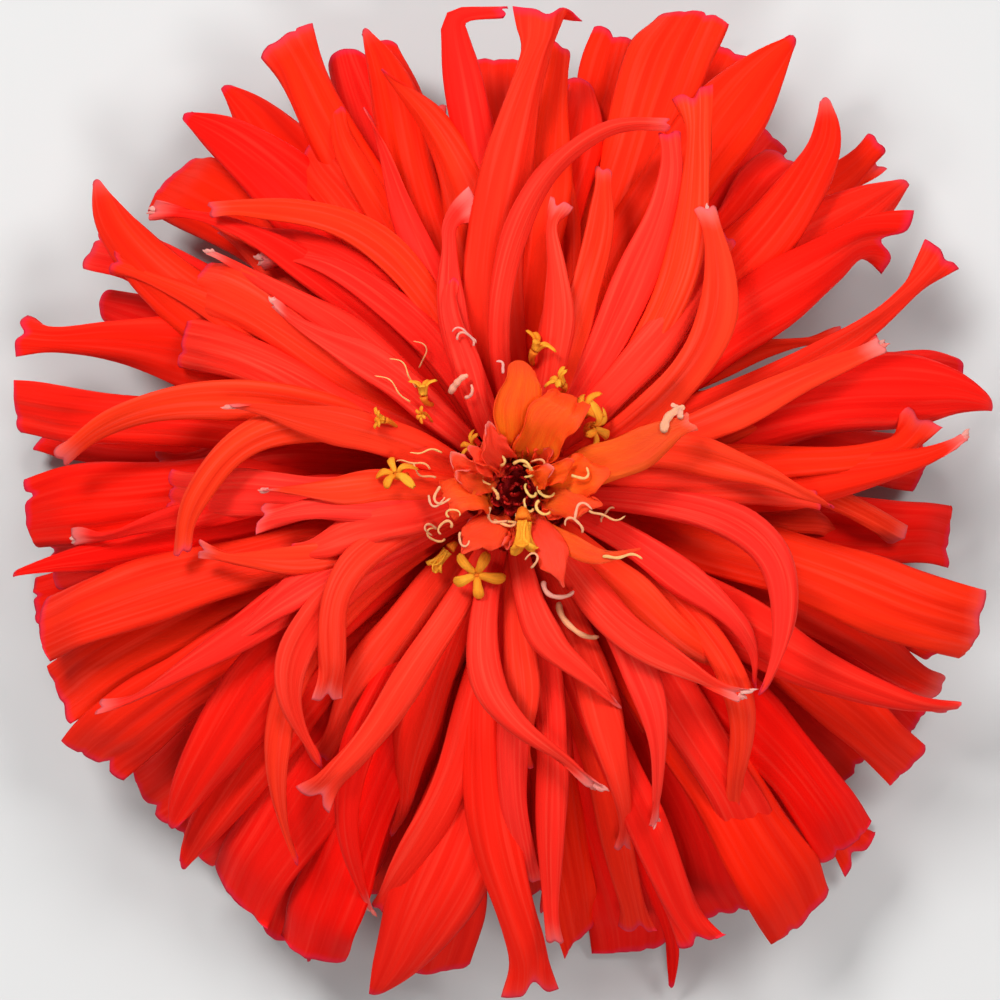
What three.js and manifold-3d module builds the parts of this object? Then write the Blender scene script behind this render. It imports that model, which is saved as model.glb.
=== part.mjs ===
// A cactus-flowered zinnia as picked: a double head of long rolled rays on a short cut stub of stem.
// It rests face up, on the cut end and on the tips of its lowest rays. Millimetres, +Z up the stem.
// Places are given as seen from above: an angle in degrees, anticlockwise from +X, and a reach from
// the stem's axis. The whole flower is then moved so that its box is centred on the origin.

import * as THREE from "three";
import { mergeVertices } from "three/addons/utils/BufferGeometryUtils.js";
import Module from "manifold-3d";

const wasm = await Module();
wasm.setup();

// Driving sizes
const seatGap = 0.3; // between pieces that seat on each other
const stemRadius = 2.8;
const stemTop = 8.4;
const cupFoot = stemTop + seatGap;
const cupTop = 18.7;
const receptacleFoot = cupTop + seatGap;
const receptacleTop = 36.5;
const collarInner = 2.6; // ring that carries the young rays
const collarOuter = 3.9;
const collarFoot = receptacleTop + seatGap;
const collarTop = 38.4;
const discRadius = collarInner - seatGap;
const rayThickness = 1.1; // at the middle of the section
const rollTwist = 12; // degrees that a ray may turn about its own length
const lowerDroop = { mid: 1.5, tip: 4 }; // the side at -Y hangs this much lower
const tidyTolerance = 0.02; // slivers under this size are merged after a join

// Receptacle: the cone that carries the rays, as reach and height
const receptacleProfile = [
  [0, receptacleFoot], [10.4, receptacleFoot], [10.1, 21], [9.2, 24], [7.8, 28], [5.9, 32.5],
  [4.3, receptacleTop], [0, receptacleTop],
];

// Cup under the rays, as reach and height, and its rows of overlapping bracts
const cupProfile = [
  [0, cupFoot], [3.9, cupFoot], [7.2, 10], [9.7, 12.6], [10.7, 15.6], [10.6, cupTop], [0, cupTop],
];
const bractThickness = 1.9;
const bractRows = [
  { count: 8, foot: 9.0, tip: 12.4, width: 5.2, turn: 0 },
  { count: 10, foot: 10.5, tip: 15.2, width: 6.2, turn: 18 },
  { count: 12, foot: 12.5, tip: 18.3, width: 6.0, turn: 7 },
];

// Widths along a ray for each kind of end, as shares of its full width at the stations, how far the
// edges roll under as a share of the width, and how far the middle of the tip is notched, in mm
const stations = [0, 0.32, 0.62, 0.88, 1];
const rayForms = {
  strap: { widths: [0.4, 0.9, 1, 0.95, 0.74], roll: 0.22, notch: 1.2, shoulders: 0.55 },
  fork: { widths: [0.4, 0.9, 0.98, 0.72, 0.88], roll: 0.3, notch: 3.2 },
  point: { widths: [0.4, 0.92, 0.97, 0.52, 0.12], roll: 0.32, notch: 0 },
  neck: { widths: [0.4, 0.92, 0.92, 0.44, 0.6], roll: 0.32, notch: 1.4 },
  quill: { widths: [0.5, 0.92, 1, 0.88, 0.62], roll: 0.42, notch: 0.8 },
  blunt: { widths: [0.4, 0.9, 1, 0.85, 0.45], roll: 0.28, notch: 0 },
};

// The rays in their layers, from the lowest up. A layer's root is the reach and height, inside what carries
// it, where its rays start. A ray is its root's angle, its middle's angle and reach, its tip's angle and
// reach, its width and its form.
const rayLayers = [
  {
    root: [6.8, 21], midHeight: 16.5, tipHeight: 1.6, droops: false,
    rays: [
      [12, 9, 34, 8, 53.5, 6.5, "strap"],
      [65, 64, 30, 63.5, 51.5, 6.5, "strap"],
      [118, 118, 30, 118.5, 47, 7, "strap"],
      [171, 172.5, 36, 174, 54, 5.5, "strap"],
      [191, 192.5, 36, 193, 55, 6, "strap"],
      [239, 240.5, 36, 242.5, 56.7, 5, "point"],
      [245, 246, 36, 247.4, 57.6, 6, "point"],
      [286, 283, 34, 282.6, 52.4, 8.5, "strap"],
      [292, 290, 38, 287.6, 58, 5, "point"],
      [317, 315, 36, 313.5, 56, 6.5, "fork"],
      [323, 322, 32, 320.3, 49, 8, "strap"],
      [334, 331, 36, 329.6, 52, 5.5, "strap"],
    ],
  },
  {
    root: [6.5, 23], midHeight: 21.5, tipHeight: 9, droops: true,
    rays: [
      [41, 43.5, 38, 41.2, 55.3, 6, "neck"],
      [47, 46.5, 36, 43.8, 55.7, 6, "quill"],
      [57, 56, 32, 55, 51, 7, "strap"],
      [78, 77.5, 30, 76.8, 51.6, 7.2, "strap"],
      [102, 104, 36, 105.3, 50.5, 5.5, "blunt"],
      [119, 121, 34, 126.3, 55, 7, "point"],
      [131, 133, 33, 137.2, 50.7, 7.5, "strap"],
      [151, 153, 36, 154.3, 49, 7, "blunt"],
      [184, 186.5, 36, 188.7, 52, 6.5, "strap"],
      [221, 221, 30, 221, 50, 7, "strap"],
      [255, 256, 30, 256.5, 42, 6, "blunt"],
      [262, 261.5, 36, 262, 54.5, 8.5, "strap"],
      [303, 300, 34, 297.5, 53, 7.5, "strap"],
      [310, 309, 34, 308, 52.5, 6, "strap"],
      [331, 328, 36, 324.9, 53.7, 6.5, "strap"],
      [357, 353, 30, 353.5, 48, 7.5, "strap"],
    ],
  },
  {
    root: [6, 25.3], midHeight: 26, tipHeight: 15.5, droops: true,
    rays: [
      [20, 16.5, 35, 13.5, 52.5, 8, "fork"],
      [41, 40.2, 38, 38, 55.5, 8, "fork"],
      [53, 51.3, 38, 51.4, 55.3, 8.5, "neck"],
      [63, 60, 36, 58, 58, 7.5, "point"],
      [71, 71, 30, 69.8, 55, 8.2, "strap"],
      [82, 82, 32, 81.4, 45.6, 3.8, "quill"],
      [104, 106.5, 36, 107.6, 53.3, 5.5, "point"],
      [113, 116, 34, 117.2, 55.5, 7, "fork"],
      [122, 125, 33, 131.4, 55.1, 7, "point"],
      [141, 144, 36, 145.5, 56, 8, "fork"],
      [153, 156, 34, 163.6, 57.6, 9, "point"],
      [165, 168, 36, 170.4, 56.6, 6.5, "fork"],
      [177, 179.5, 36, 182, 54.2, 8.5, "strap"],
      [187, 189, 38, 189.5, 56.6, 6, "point"],
      [196, 200, 34, 204.3, 55.5, 7, "strap"],
      [209, 212, 36, 213.3, 54.9, 8, "strap"],
      [220, 225.5, 38, 228.8, 55.6, 5, "point"],
      [231, 234, 34, 235.8, 53.9, 8.5, "strap"],
      [240, 243, 34, 246, 54.2, 8.5, "strap"],
      [262, 258.5, 42, 254, 58, 8.5, "point"],
      [264, 262, 30, 251, 40.4, 3.5, "quill"],
      [288, 286, 34, 285.5, 50.6, 5, "fork"],
      [309, 305.3, 40, 303.4, 57.4, 8, "strap"],
      [320, 315.5, 38, 313.2, 54, 7.6, "strap"],
      [339, 337.5, 37, 335, 51.7, 6, "point"],
      [343, 340.5, 36, 338.8, 49.7, 5, "neck"],
    ],
  },
  {
    root: [5.3, 27.8], midHeight: 30, tipHeight: 21, droops: true,
    rays: [
      [2, 2, 34, 7, 50, 6, "point"],
      [14, 10.5, 30, 9.6, 46.5, 6, "fork"],
      [31, 25.5, 38, 29.5, 53.6, 4.2, "quill"],
      [36, 35.6, 36, 31.5, 50, 8.5, "strap"],
      [84, 84, 34, 83.8, 48.9, 4.2, "quill"],
      [97, 97.5, 38, 94, 53.5, 6, "blunt"],
      [97, 101.5, 36, 107.5, 48.3, 7, "point"],
      [112, 115, 32, 115.2, 46.5, 4.5, "quill"],
      [118, 119.5, 30, 121, 44, 6, "strap"],
      [122, 129, 36, 136, 41.5, 3.5, "quill"],
      [131, 134.5, 36, 142.4, 50.5, 4, "quill"],
      [147, 149.5, 36, 150.5, 51, 5.5, "neck"],
      [180, 183, 36, 186.4, 49, 4.5, "fork"],
      [192, 195, 34, 196.4, 54.4, 7.5, "strap"],
      [214, 218.8, 40, 224.5, 52.8, 7, "point"],
      [218, 220, 20, 221, 30, 5, "quill"],
      [238, 242.5, 39, 251.1, 49.1, 4.5, "point"],
      [245, 247, 30, 250.5, 40.3, 5.5, "point"],
      [256, 261.5, 36, 270.3, 56, 6, "fork"],
      [294, 290.5, 36, 292.5, 54, 6, "fork"],
      [312, 307, 34, 303.2, 48.6, 6, "strap"],
      [334, 329.5, 38, 333.2, 53.8, 7.5, "point"],
      [348, 345.6, 36, 344.5, 53, 8.2, "strap"],
    ],
  },
  {
    root: [4.4, 30], midHeight: 34, tipHeight: 27, droops: true,
    rays: [
      [33, 37.5, 26, 42, 36.4, 5, "fork"],
      [92, 92.5, 34, 86.5, 53.6, 6.8, "fork"],
      [110, 112.5, 28, 111.4, 44.4, 5, "fork"],
      [119, 124, 36, 137.3, 45.4, 4.5, "fork"],
      [117, 127, 28, 137.8, 37.6, 5, "fork"],
      [133, 138, 30, 142, 42.5, 4.5, "fork"],
      [141, 144, 28, 147, 42, 6.5, "strap"],
      [152, 154.5, 28, 156, 40, 6, "strap"],
      [160, 166, 38, 176, 50, 6, "neck"],
      [201, 206, 38, 207.4, 51.5, 5, "fork"],
      [216, 225.5, 38, 239.6, 47.5, 4, "point"],
      [229, 231.5, 24, 234, 36, 5.5, "quill"],
      [266, 269.5, 30, 271.5, 43, 5.5, "strap"],
      [277, 278, 28, 275, 49.8, 5, "neck"],
      [287, 290.5, 31, 286.7, 41.2, 5, "fork"],
      [322, 317.5, 34, 304.7, 43, 4.5, "fork"],
    ],
  },
  {
    root: [3.6, 32.2], midHeight: 37.5, tipHeight: 33, droops: true,
    rays: [
      [1, 0, 24, -2, 33, 5, "quill"],
      [14, 20, 28, 21.6, 43, 5, "quill"],
      [45, 47, 24, 50, 36, 5, "quill"],
      [51, 53.5, 30, 66, 47.6, 5.5, "fork"],
      [59, 60.5, 27, 66.5, 42.5, 5.2, "quill"],
      [70, 71, 26, 74.5, 36.3, 5, "fork"],
      [80, 83.5, 33, 67.3, 43.3, 3.8, "quill"],
      [106, 107, 24, 100.7, 33.8, 4.5, "fork"],
      [136, 139, 24, 142.3, 33.4, 5, "fork"],
      [171, 171, 30, 190.5, 37, 5.5, "quill"],
      [197, 196.3, 27, 189.6, 35.1, 4.5, "fork"],
      [201, 204.5, 28, 207.8, 39.1, 5.5, "neck"],
      [214, 220.5, 32, 234.6, 37, 5.5, "point"],
      [246, 239.5, 28, 236.8, 40.4, 5.2, "fork"],
      [271, 271.5, 20, 272, 30, 4.5, "quill"],
      [308, 302, 28, 293, 39.5, 4.8, "point"],
      [320, 319.5, 22, 320, 31, 4.8, "quill"],
      [336, 328.5, 25, 320.8, 33.9, 5, "point"],
    ],
  },
  {
    root: [2.8, 34.2], midHeight: 40.5, tipHeight: 37.5, droops: true,
    rays: [
      [10, 7.5, 24, -3, 34.5, 4.5, "point"],
      [36, 41.5, 29, 56, 37, 5.5, "point"],
      [75, 77.5, 22, 81, 31.8, 4.8, "fork"],
      [112, 111, 16, 107, 24, 3, "quill"],
      [160, 161, 20, 163.7, 32.2, 5.5, "point"],
      [178, 178, 18, 180, 27.3, 4.5, "blunt"],
      [186, 187, 18, 186.3, 28, 4.2, "fork"],
      [195, 196, 17, 196, 25, 4.5, "quill"],
      [212, 212.5, 24.5, 228, 30.7, 4.8, "fork"],
      [259, 267.5, 25, 285, 33.5, 4.5, "fork"],
      [270, 284, 18, 295.6, 26.2, 4.5, "point"],
      [314, 311.5, 25, 318, 33.4, 5.2, "point"],
      [345, 339, 31.5, 320.7, 34.8, 5.5, "point"],
    ],
  },
];

// The young rays round the disc, written like the others. They climb from the collar and lean out.
const youngLayer = {
  root: [3.3, 37.9], midHeight: 44.5, tipHeight: 46, droops: false,
  rays: [
    [8, 8, 6.5, 8, 11.5, 4.8, "blunt"],
    [20, 16, 11.5, 20, 21, 4.2, "quill"],
    [60, 57, 7, 55, 12, 5, "blunt"],
    [86, 87, 7, 88, 13, 4, "blunt"],
    [112, 112, 5.5, 112, 8, 3, "blunt"],
    [137, 139, 4.8, 140, 6.5, 2.8, "blunt"],
    [159, 158, 5, 157, 7.5, 3, "blunt"],
    [190, 192, 5.2, 193, 7.8, 4, "blunt"],
    [228, 225, 6, 222, 10.5, 3.5, "blunt"],
    [306, 301, 6.5, 297, 10.7, 3.4, "blunt"],
    [330, 328, 8, 336, 14.8, 2.8, "point"],
  ],
};

// Disc florets with five yellow lobes: angle, reach and height of the star's middle
const starRadius = 2.6;
const starThickness = 0.7;
const floretTube = 0.55;
const outerFloretFoot = { reach: 4.6, height: 34.5 };
const outerFlorets = [
  [39.5, 10.9, 42.2], [50, 12.4, 42.8], [70, 12.5, 42.6], [84, 15.7, 43.4], [132.5, 14.7, 43.4],
  [141.7, 13.4, 42.8], [171, 12.9, 43.2], [247.5, 9.9, 42.8],
];
const discFloret = [265, 5, 42];
const discProfile = [
  [0, collarFoot], [discRadius, collarFoot], [discRadius, 39], [1.7, 40], [0.9, 39.2], [0, 38.8],
];
const pales = { count: 8, reach: 1.9, foot: 38, tip: 41.2, width: 1.4, thickness: 1, turn: 12 };

const radians = THREE.MathUtils.degToRad;

// A point from its angle, reach and height
function at(angle, reach, height) {
  const a = radians(angle);
  return new THREE.Vector3(reach * Math.cos(a), reach * Math.sin(a), height);
}

// The same small random numbers each time, from 0 to 1
function numberSource(seed) {
  let state = seed;
  return () => {
    state = (state * 48271) % 2147483647;
    return state / 2147483647;
  };
}

// A closed solid through a row of rings of corners. Each ring's last corner is on its underside, and the
// faces on both sides of it are split the other way, so that the upper and lower face bend alike.
function loft(rings) {
  const corners = rings[0].length;
  const index = [];
  for (let i = 0; i < rings.length - 1; i++) {
    for (let j = 0; j < corners; j++) {
      const a = i * corners + j;
      const b = i * corners + ((j + 1) % corners);
      if (j >= corners - 2) {
        index.push(a, b, a + corners, b, b + corners, a + corners);
      } else {
        index.push(a, b, b + corners, a, b + corners, a + corners);
      }
    }
  }
  const last = corners - 1;
  const end = (rings.length - 1) * corners;
  for (let j = 0; j < last - 1; j++) {
    index.push(last, j + 1, j);
    index.push(end + last, end + j, end + j + 1);
  }
  const geometry = new THREE.BufferGeometry();
  const places = rings.flat().flatMap((point) => point.toArray());
  geometry.setAttribute("position", new THREE.Float32BufferAttribute(places, 3));
  geometry.setIndex(index);
  return geometry;
}

// Any closed geometry as a solid that can be joined
function solidOf(geometry) {
  geometry.deleteAttribute("normal");
  geometry.deleteAttribute("uv");
  const merged = mergeVertices(geometry, 1e-4);
  const mesh = new wasm.Mesh({
    numProp: 3,
    vertProperties: new Float32Array(merged.attributes.position.array),
    triVerts: new Uint32Array(merged.index.array),
  });
  return new wasm.Manifold(mesh);
}

// Several closed geometries grown together in one
function joined(geometries) {
  const solid = wasm.Manifold.union(geometries.map(solidOf)).simplify(tidyTolerance);
  const mesh = solid.getMesh();
  const geometry = new THREE.BufferGeometry();
  geometry.setAttribute("position", new THREE.BufferAttribute(new Float32Array(mesh.vertProperties), 3));
  geometry.setIndex(new THREE.BufferAttribute(new Uint32Array(mesh.triVerts), 1));
  return geometry;
}

// A turned solid about the stem's axis from a profile of reach and height
function turned(profile, sides) {
  const points = profile.map(([reach, height]) => new THREE.Vector2(reach, height));
  return new THREE.LatheGeometry(points, sides).rotateX(Math.PI / 2);
}

// The middle line of a ray: an arc through its root, middle and tip
function rayLine(ray, layer) {
  const [rootAngle, midAngle, midReach, tipAngle, tipReach] = ray;
  const hang = layer.droops ? Math.max(0, -Math.sin(radians(tipAngle))) : 0;
  const [rootReach, rootHeight] = layer.root;
  const root = at(rootAngle, rootReach, rootHeight);
  const mid = at(midAngle, midReach, layer.midHeight - lowerDroop.mid * hang);
  const tip = at(tipAngle, tipReach, layer.tipHeight - lowerDroop.tip * hang);
  const first = root.distanceTo(mid);
  const t = first / (first + mid.distanceTo(tip));
  const control = mid.clone();
  control.addScaledVector(root, -(1 - t) * (1 - t));
  control.addScaledVector(tip, -t * t);
  control.divideScalar(2 * t * (1 - t));
  return new THREE.QuadraticBezierCurve3(root, control, tip);
}

// One ring of a ray's corners: left edge, upper side, right edge, underside
function rayRing(line, t, halfWidth, roll, twist, form, isTip) {
  const middle = line.getPoint(t);
  const along = line.getTangent(t);
  const up = new THREE.Vector3(0, 0, 1).addScaledVector(along, -along.z).normalize();
  up.applyAxisAngle(along, twist);
  const side = new THREE.Vector3().crossVectors(along, up);
  const back = isTip ? form.notch : 0;
  const corner = (across, lift, setBack) =>
    middle.clone().addScaledVector(side, across).addScaledVector(up, lift).addScaledVector(along, -setBack);
  const thick = rayThickness * Math.min(1, 0.35 + halfWidth / 3);
  const upper = [];
  if (form.shoulders) {
    upper.push(corner(-halfWidth * form.shoulders, -roll * 0.2, 0));
    upper.push(corner(halfWidth * form.shoulders, -roll * 0.2, 0));
  } else {
    upper.push(corner(0, 0, back));
  }
  return [corner(-halfWidth, -roll, 0), ...upper, corner(halfWidth, -roll, 0), corner(0, -thick, back)];
}

// The solid of one ray
function rayGeometry(ray, layer, random) {
  const width = ray[5];
  const form = rayForms[ray[6]];
  const line = rayLine(ray, layer);
  const turn = radians(rollTwist) * (2 * random() - 1);
  const rings = stations.map((t, i) => {
    const halfWidth = Math.max(0.35, (width * form.widths[i]) / 2);
    const roll = 2 * halfWidth * form.roll;
    return rayRing(line, t, halfWidth, roll, turn * t, form, i === stations.length - 1);
  });
  return loft(rings);
}

// A yellow disc floret: a thin tube that opens in a star of five lobes
function floretGeometries(floret, foot) {
  const [angle, reach, height] = floret;
  const star = new THREE.Shape();
  for (let i = 0; i < 10; i++) {
    const radius = i % 2 ? starRadius * 0.36 : starRadius;
    const a = radians(angle + 36 * i);
    const x = radius * Math.cos(a);
    const y = radius * Math.sin(a);
    if (i) {
      star.lineTo(x, y);
    } else {
      star.moveTo(x, y);
    }
  }
  const plate = new THREE.ExtrudeGeometry(star, { depth: starThickness, bevelEnabled: false });
  const centre = at(angle, reach, height);
  plate.translate(centre.x, centre.y, centre.z - starThickness);
  const ring = (middle) => [0, 90, 180, 270].map((turn) => middle.clone().add(at(turn, floretTube, 0)));
  const tube = loft([ring(foot), ring(centre.clone().setZ(height - starThickness / 2))]);
  return [plate, tube];
}

// Half widths of a bract or pale along its length, as shares of its width
const scaleOutline = [
  [0, 0.36], [0.55, 0.5], [0.88, 0.34], [1, 0.14],
];

// A scale that stands on a turned body, from its foot to its tip
function scaleGeometry(angle, foot, tip, width, thickness) {
  const outward = at(angle, 1, 0);
  const side = at(angle + 90, 1, 0);
  const ring = (share, halfWidth) => {
    const middle = foot.clone().lerp(tip, share);
    return [
      middle.clone().addScaledVector(side, -halfWidth),
      middle.clone().addScaledVector(outward, thickness / 2),
      middle.clone().addScaledVector(side, halfWidth),
      middle.clone().addScaledVector(outward, -thickness / 2),
    ];
  };
  return loft(scaleOutline.map(([share, halfWidth]) => ring(share, width * halfWidth)));
}

// Reach of a turned profile at a height, on its outer side
function reachAt(profile, height) {
  for (let i = 1; i < profile.length; i++) {
    const [reachA, heightA] = profile[i - 1];
    const [reachB, heightB] = profile[i];
    if (heightB > heightA && height >= heightA && height <= heightB) {
      return reachA + ((reachB - reachA) * (height - heightA)) / (heightB - heightA);
    }
  }
  return profile[1][0];
}

function stem() {
  const profile = [
    [0, 0], [stemRadius * 0.96, 0], [stemRadius, 0.5], [stemRadius, 4], [stemRadius * 1.12, 6.6],
    [stemRadius * 1.3, stemTop], [0, stemTop],
  ];
  return turned(profile, 16);
}

function involucre() {
  const parts = [turned(cupProfile, 20)];
  for (const row of bractRows) {
    for (let i = 0; i < row.count; i++) {
      const angle = row.turn + (360 * i) / row.count;
      const foot = at(angle, reachAt(cupProfile, row.foot) - 0.5, row.foot);
      const tip = at(angle, reachAt(cupProfile, row.tip) + 0.6, row.tip);
      parts.push(scaleGeometry(angle, foot, tip, row.width, bractThickness));
    }
  }
  return joined(parts);
}

function rayFlorets() {
  const random = numberSource(7);
  const parts = [turned(receptacleProfile, 18)];
  for (const layer of rayLayers) {
    for (const ray of layer.rays) {
      parts.push(rayGeometry(ray, layer, random));
    }
  }
  for (const floret of outerFlorets) {
    parts.push(...floretGeometries(floret, at(floret[0], outerFloretFoot.reach, outerFloretFoot.height)));
  }
  return joined(parts);
}

function youngRays() {
  const random = numberSource(11);
  const profile = [
    [collarInner, collarFoot], [collarOuter, collarFoot], [collarOuter, collarTop], [collarInner, collarTop],
    [collarInner, collarFoot],
  ];
  const parts = [turned(profile, 16)];
  for (const ray of youngLayer.rays) {
    parts.push(rayGeometry(ray, youngLayer, random));
  }
  return joined(parts);
}

function disc() {
  const parts = [turned(discProfile, 12)];
  for (let i = 0; i < pales.count; i++) {
    const angle = pales.turn + (360 * i) / pales.count;
    const foot = at(angle, discRadius - 0.7, pales.foot);
    const tip = at(angle, pales.reach, pales.tip);
    parts.push(scaleGeometry(angle, foot, tip, pales.width, pales.thickness));
  }
  parts.push(...floretGeometries(discFloret, at(discFloret[0], 1.5, 39)));
  return joined(parts);
}

const flower = new THREE.Group();

function addPiece(name, geometry, color, roughness) {
  geometry.computeVertexNormals();
  const piece = new THREE.Mesh(geometry, new THREE.MeshStandardMaterial({ color, roughness, metalness: 0 }));
  piece.name = name;
  flower.add(piece);
}

addPiece("stem", stem(), 0x8ca35c, 0.6);
addPiece("involucre", involucre(), 0x5f7a3a, 0.65);
addPiece("ray_florets", rayFlorets(), 0xf2311c, 0.5);
addPiece("young_rays", youngRays(), 0xf2601c, 0.5);
addPiece("disc", disc(), 0x8c1212, 0.6);

const box = new THREE.Box3().setFromObject(flower);
flower.position.set(-(box.min.x + box.max.x) / 2, -(box.min.y + box.max.y) / 2, -box.min.z);
flower.updateMatrixWorld(true);

export default flower;
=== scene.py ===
import math
import bpy
import numpy as np
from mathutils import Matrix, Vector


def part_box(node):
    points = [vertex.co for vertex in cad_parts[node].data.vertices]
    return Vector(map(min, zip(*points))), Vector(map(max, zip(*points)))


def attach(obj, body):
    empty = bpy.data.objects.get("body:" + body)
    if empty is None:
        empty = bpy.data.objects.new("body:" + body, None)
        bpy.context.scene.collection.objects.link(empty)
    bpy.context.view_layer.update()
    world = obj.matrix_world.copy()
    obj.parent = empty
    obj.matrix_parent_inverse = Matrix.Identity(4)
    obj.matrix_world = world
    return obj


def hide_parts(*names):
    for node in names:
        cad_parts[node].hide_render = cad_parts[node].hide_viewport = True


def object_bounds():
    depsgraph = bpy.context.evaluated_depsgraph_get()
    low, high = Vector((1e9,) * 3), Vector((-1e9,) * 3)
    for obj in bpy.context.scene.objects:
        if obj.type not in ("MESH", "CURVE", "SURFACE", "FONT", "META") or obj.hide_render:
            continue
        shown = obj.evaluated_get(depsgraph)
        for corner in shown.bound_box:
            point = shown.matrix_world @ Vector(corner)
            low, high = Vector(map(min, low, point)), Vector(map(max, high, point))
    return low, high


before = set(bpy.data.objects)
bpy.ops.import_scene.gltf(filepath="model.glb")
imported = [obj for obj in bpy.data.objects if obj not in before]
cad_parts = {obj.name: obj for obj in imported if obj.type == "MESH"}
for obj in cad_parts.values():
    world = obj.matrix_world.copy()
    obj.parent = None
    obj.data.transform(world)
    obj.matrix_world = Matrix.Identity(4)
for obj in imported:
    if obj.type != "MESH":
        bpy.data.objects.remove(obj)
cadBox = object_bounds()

# A scarlet cactus-flowered zinnia as picked, lying face up on its outer rays.
# Shapes are planned in millimetres round the stem's axis, and angles are in degrees, as seen from above.
print("zinnia: frame loaded")

mm = 0.001
upward = np.array([0.0, 0.0, 1.0])
stemLow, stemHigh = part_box("stem")
axisPlace = np.array([(stemLow.x + stemHigh.x) / 2, (stemLow.y + stemHigh.y) / 2, 0.0])

# Camera: straight down on the flower's face
cameraLook = {
    "frameWidth": 0.110,  # metres of flower across the picture
    "distance": 1.5,
    "aim": (-0.00165, -0.0011, 0.025),  # from the stem's axis
    "sensor": 36.0,
}


def addCamera():
    data = bpy.data.cameras.new("camera")
    data.sensor_width = cameraLook["sensor"]
    data.lens = cameraLook["sensor"] * cameraLook["distance"] / cameraLook["frameWidth"]
    data.clip_end = 10.0
    camera = bpy.data.objects.new("camera", data)
    x, y, z = cameraLook["aim"]
    camera.location = (axisPlace[0] + x, axisPlace[1] + y, z + cameraLook["distance"])
    bpy.context.collection.objects.link(camera)
    bpy.context.scene.camera = camera


addCamera()
print("zinnia: camera set")


# Small helpers for shapes

def at(angle, reach, height):
    a = math.radians(angle)
    return np.array([reach * math.cos(a), reach * math.sin(a), height])


def unit(v):
    return v / np.maximum(np.linalg.norm(v, axis=-1, keepdims=True), 1e-9)


def roundAngles(count):
    return np.linspace(0, 2 * math.pi, count, endpoint=False)


def smoothCurve(stops, t):
    # a smooth line through a few stops of (place, value)
    x, y = np.array(stops, float).T
    slope = np.diff(y) / np.diff(x)
    m = np.concatenate([slope[:1], (slope[:-1] + slope[1:]) / 2, slope[-1:]])
    t = np.clip(t, x[0], x[-1])
    i = np.clip(np.searchsorted(x, t, side="right") - 1, 0, len(x) - 2)
    h = x[i + 1] - x[i]
    s = (t - x[i]) / h
    low = (1 + 2 * s) * (1 - s) ** 2 * y[i] + s * (1 - s) ** 2 * h * m[i]
    high = s * s * (3 - 2 * s) * y[i + 1] + s * s * (s - 1) * h * m[i + 1]
    return low + high


def easeIn(a, b, t):
    s = np.clip((t - a) / (b - a), 0, 1)
    return s * s * (3 - 2 * s)


def dent(v, place, spread):
    return np.exp(-((v - place) / spread) ** 2)


def ripple(u, waves, luck):
    return np.sin(2 * math.pi * (u * waves + luck()))


def newLuck(seed):
    # call it for the next number from 0 to 1, the same ones in every run
    return np.random.RandomState(seed).random


def between(limits, luck):
    return limits[0] + (limits[1] - limits[0]) * luck()


def about(spread, luck):
    # up to half the spread to either side of nothing
    return spread * (luck() - 0.5)


def roundPlace(i, count, stray, luck):
    # the angle of one of a count that stand round the axis, each of which may stray
    return 360 * (i + stray * luck()) / count


# Piles gather the points of one piece, and marks tell its material where on a petal each point lies
markNames = ("along", "across", "shade", "pale", "under", "tone")


def newPile():
    return {"points": [], "faces": [], "marks": [], "count": 0}


def newMarks(shape, **values):
    marks = np.zeros((*shape, len(markNames)))
    for name, value in values.items():
        marks[..., markNames.index(name)] = value
    return marks


def addPoints(pile, points, faces, marks):
    pile["points"].append(points)
    pile["faces"].append(faces + pile["count"])
    pile["marks"].append(marks)
    pile["count"] += len(points)


def sheetGrid(rows, columns):
    # places along a sheet as a column, and across it from -1 to 1 as a row
    return np.linspace(0, 1, rows)[:, None], np.linspace(-1, 1, columns)[None, :]


def addSheet(pile, sheet, shade, pale, tone):
    # a thin closed sheet: two grids of points, joined round the rim. Its end may be pale.
    upper, lower, u, v = sheet
    rows, columns = upper.shape[:2]
    number = np.arange(rows * columns).reshape(rows, columns)
    a, b, c, d = number[:-1, :-1], number[:-1, 1:], number[1:, 1:], number[1:, :-1]
    top = np.stack([a, b, c, d], -1).reshape(-1, 4)
    bottom = top[:, ::-1] + rows * columns
    rim = np.concatenate([number[0, ::-1], number[1:-1, 0], number[-1, :], number[-2:0:-1, -1]])
    after = np.roll(rim, -1)
    wall = np.stack([rim, after, after + rows * columns, rim + rows * columns], -1)
    points = np.concatenate([upper.reshape(-1, 3), lower.reshape(-1, 3)])
    end = pale * easeIn(0.95 - 0.03 * pale, 1, u)
    marks = [newMarks((rows, columns), along=u, across=v, shade=shade, pale=end, under=under, tone=tone)
             for under in (0, 1)]
    faces = np.concatenate([top, bottom, wall])
    addPoints(pile, points, faces, np.concatenate(marks).reshape(-1, len(markNames)))


def addRings(pile, rings, ends, across, shade=0.0, tone=0.0):
    # a closed body: rings of points in a row, with a middle point at each end
    rows, sides = len(rings), len(rings[0])
    number = np.arange(rows * sides).reshape(rows, sides)
    after = np.roll(number, -1, axis=1)
    skin = np.stack([number[:-1], after[:-1], after[1:], number[1:]], -1).reshape(-1, 4)
    first, last = rows * sides, rows * sides + 1
    caps = [(first, after[0, k], number[0, k], number[0, k]) for k in range(sides)]
    caps += [(last, number[-1, k], after[-1, k], after[-1, k]) for k in range(sides)]
    along = np.append(np.repeat(np.linspace(0, 1, rows), sides), [0, 1])
    across = np.append(np.tile(across, rows), [0, 0])
    marks = newMarks(along.shape, along=along, across=across, shade=shade, tone=tone)
    addPoints(pile, np.concatenate([*rings, ends]), np.concatenate([skin, caps]), marks)


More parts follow.
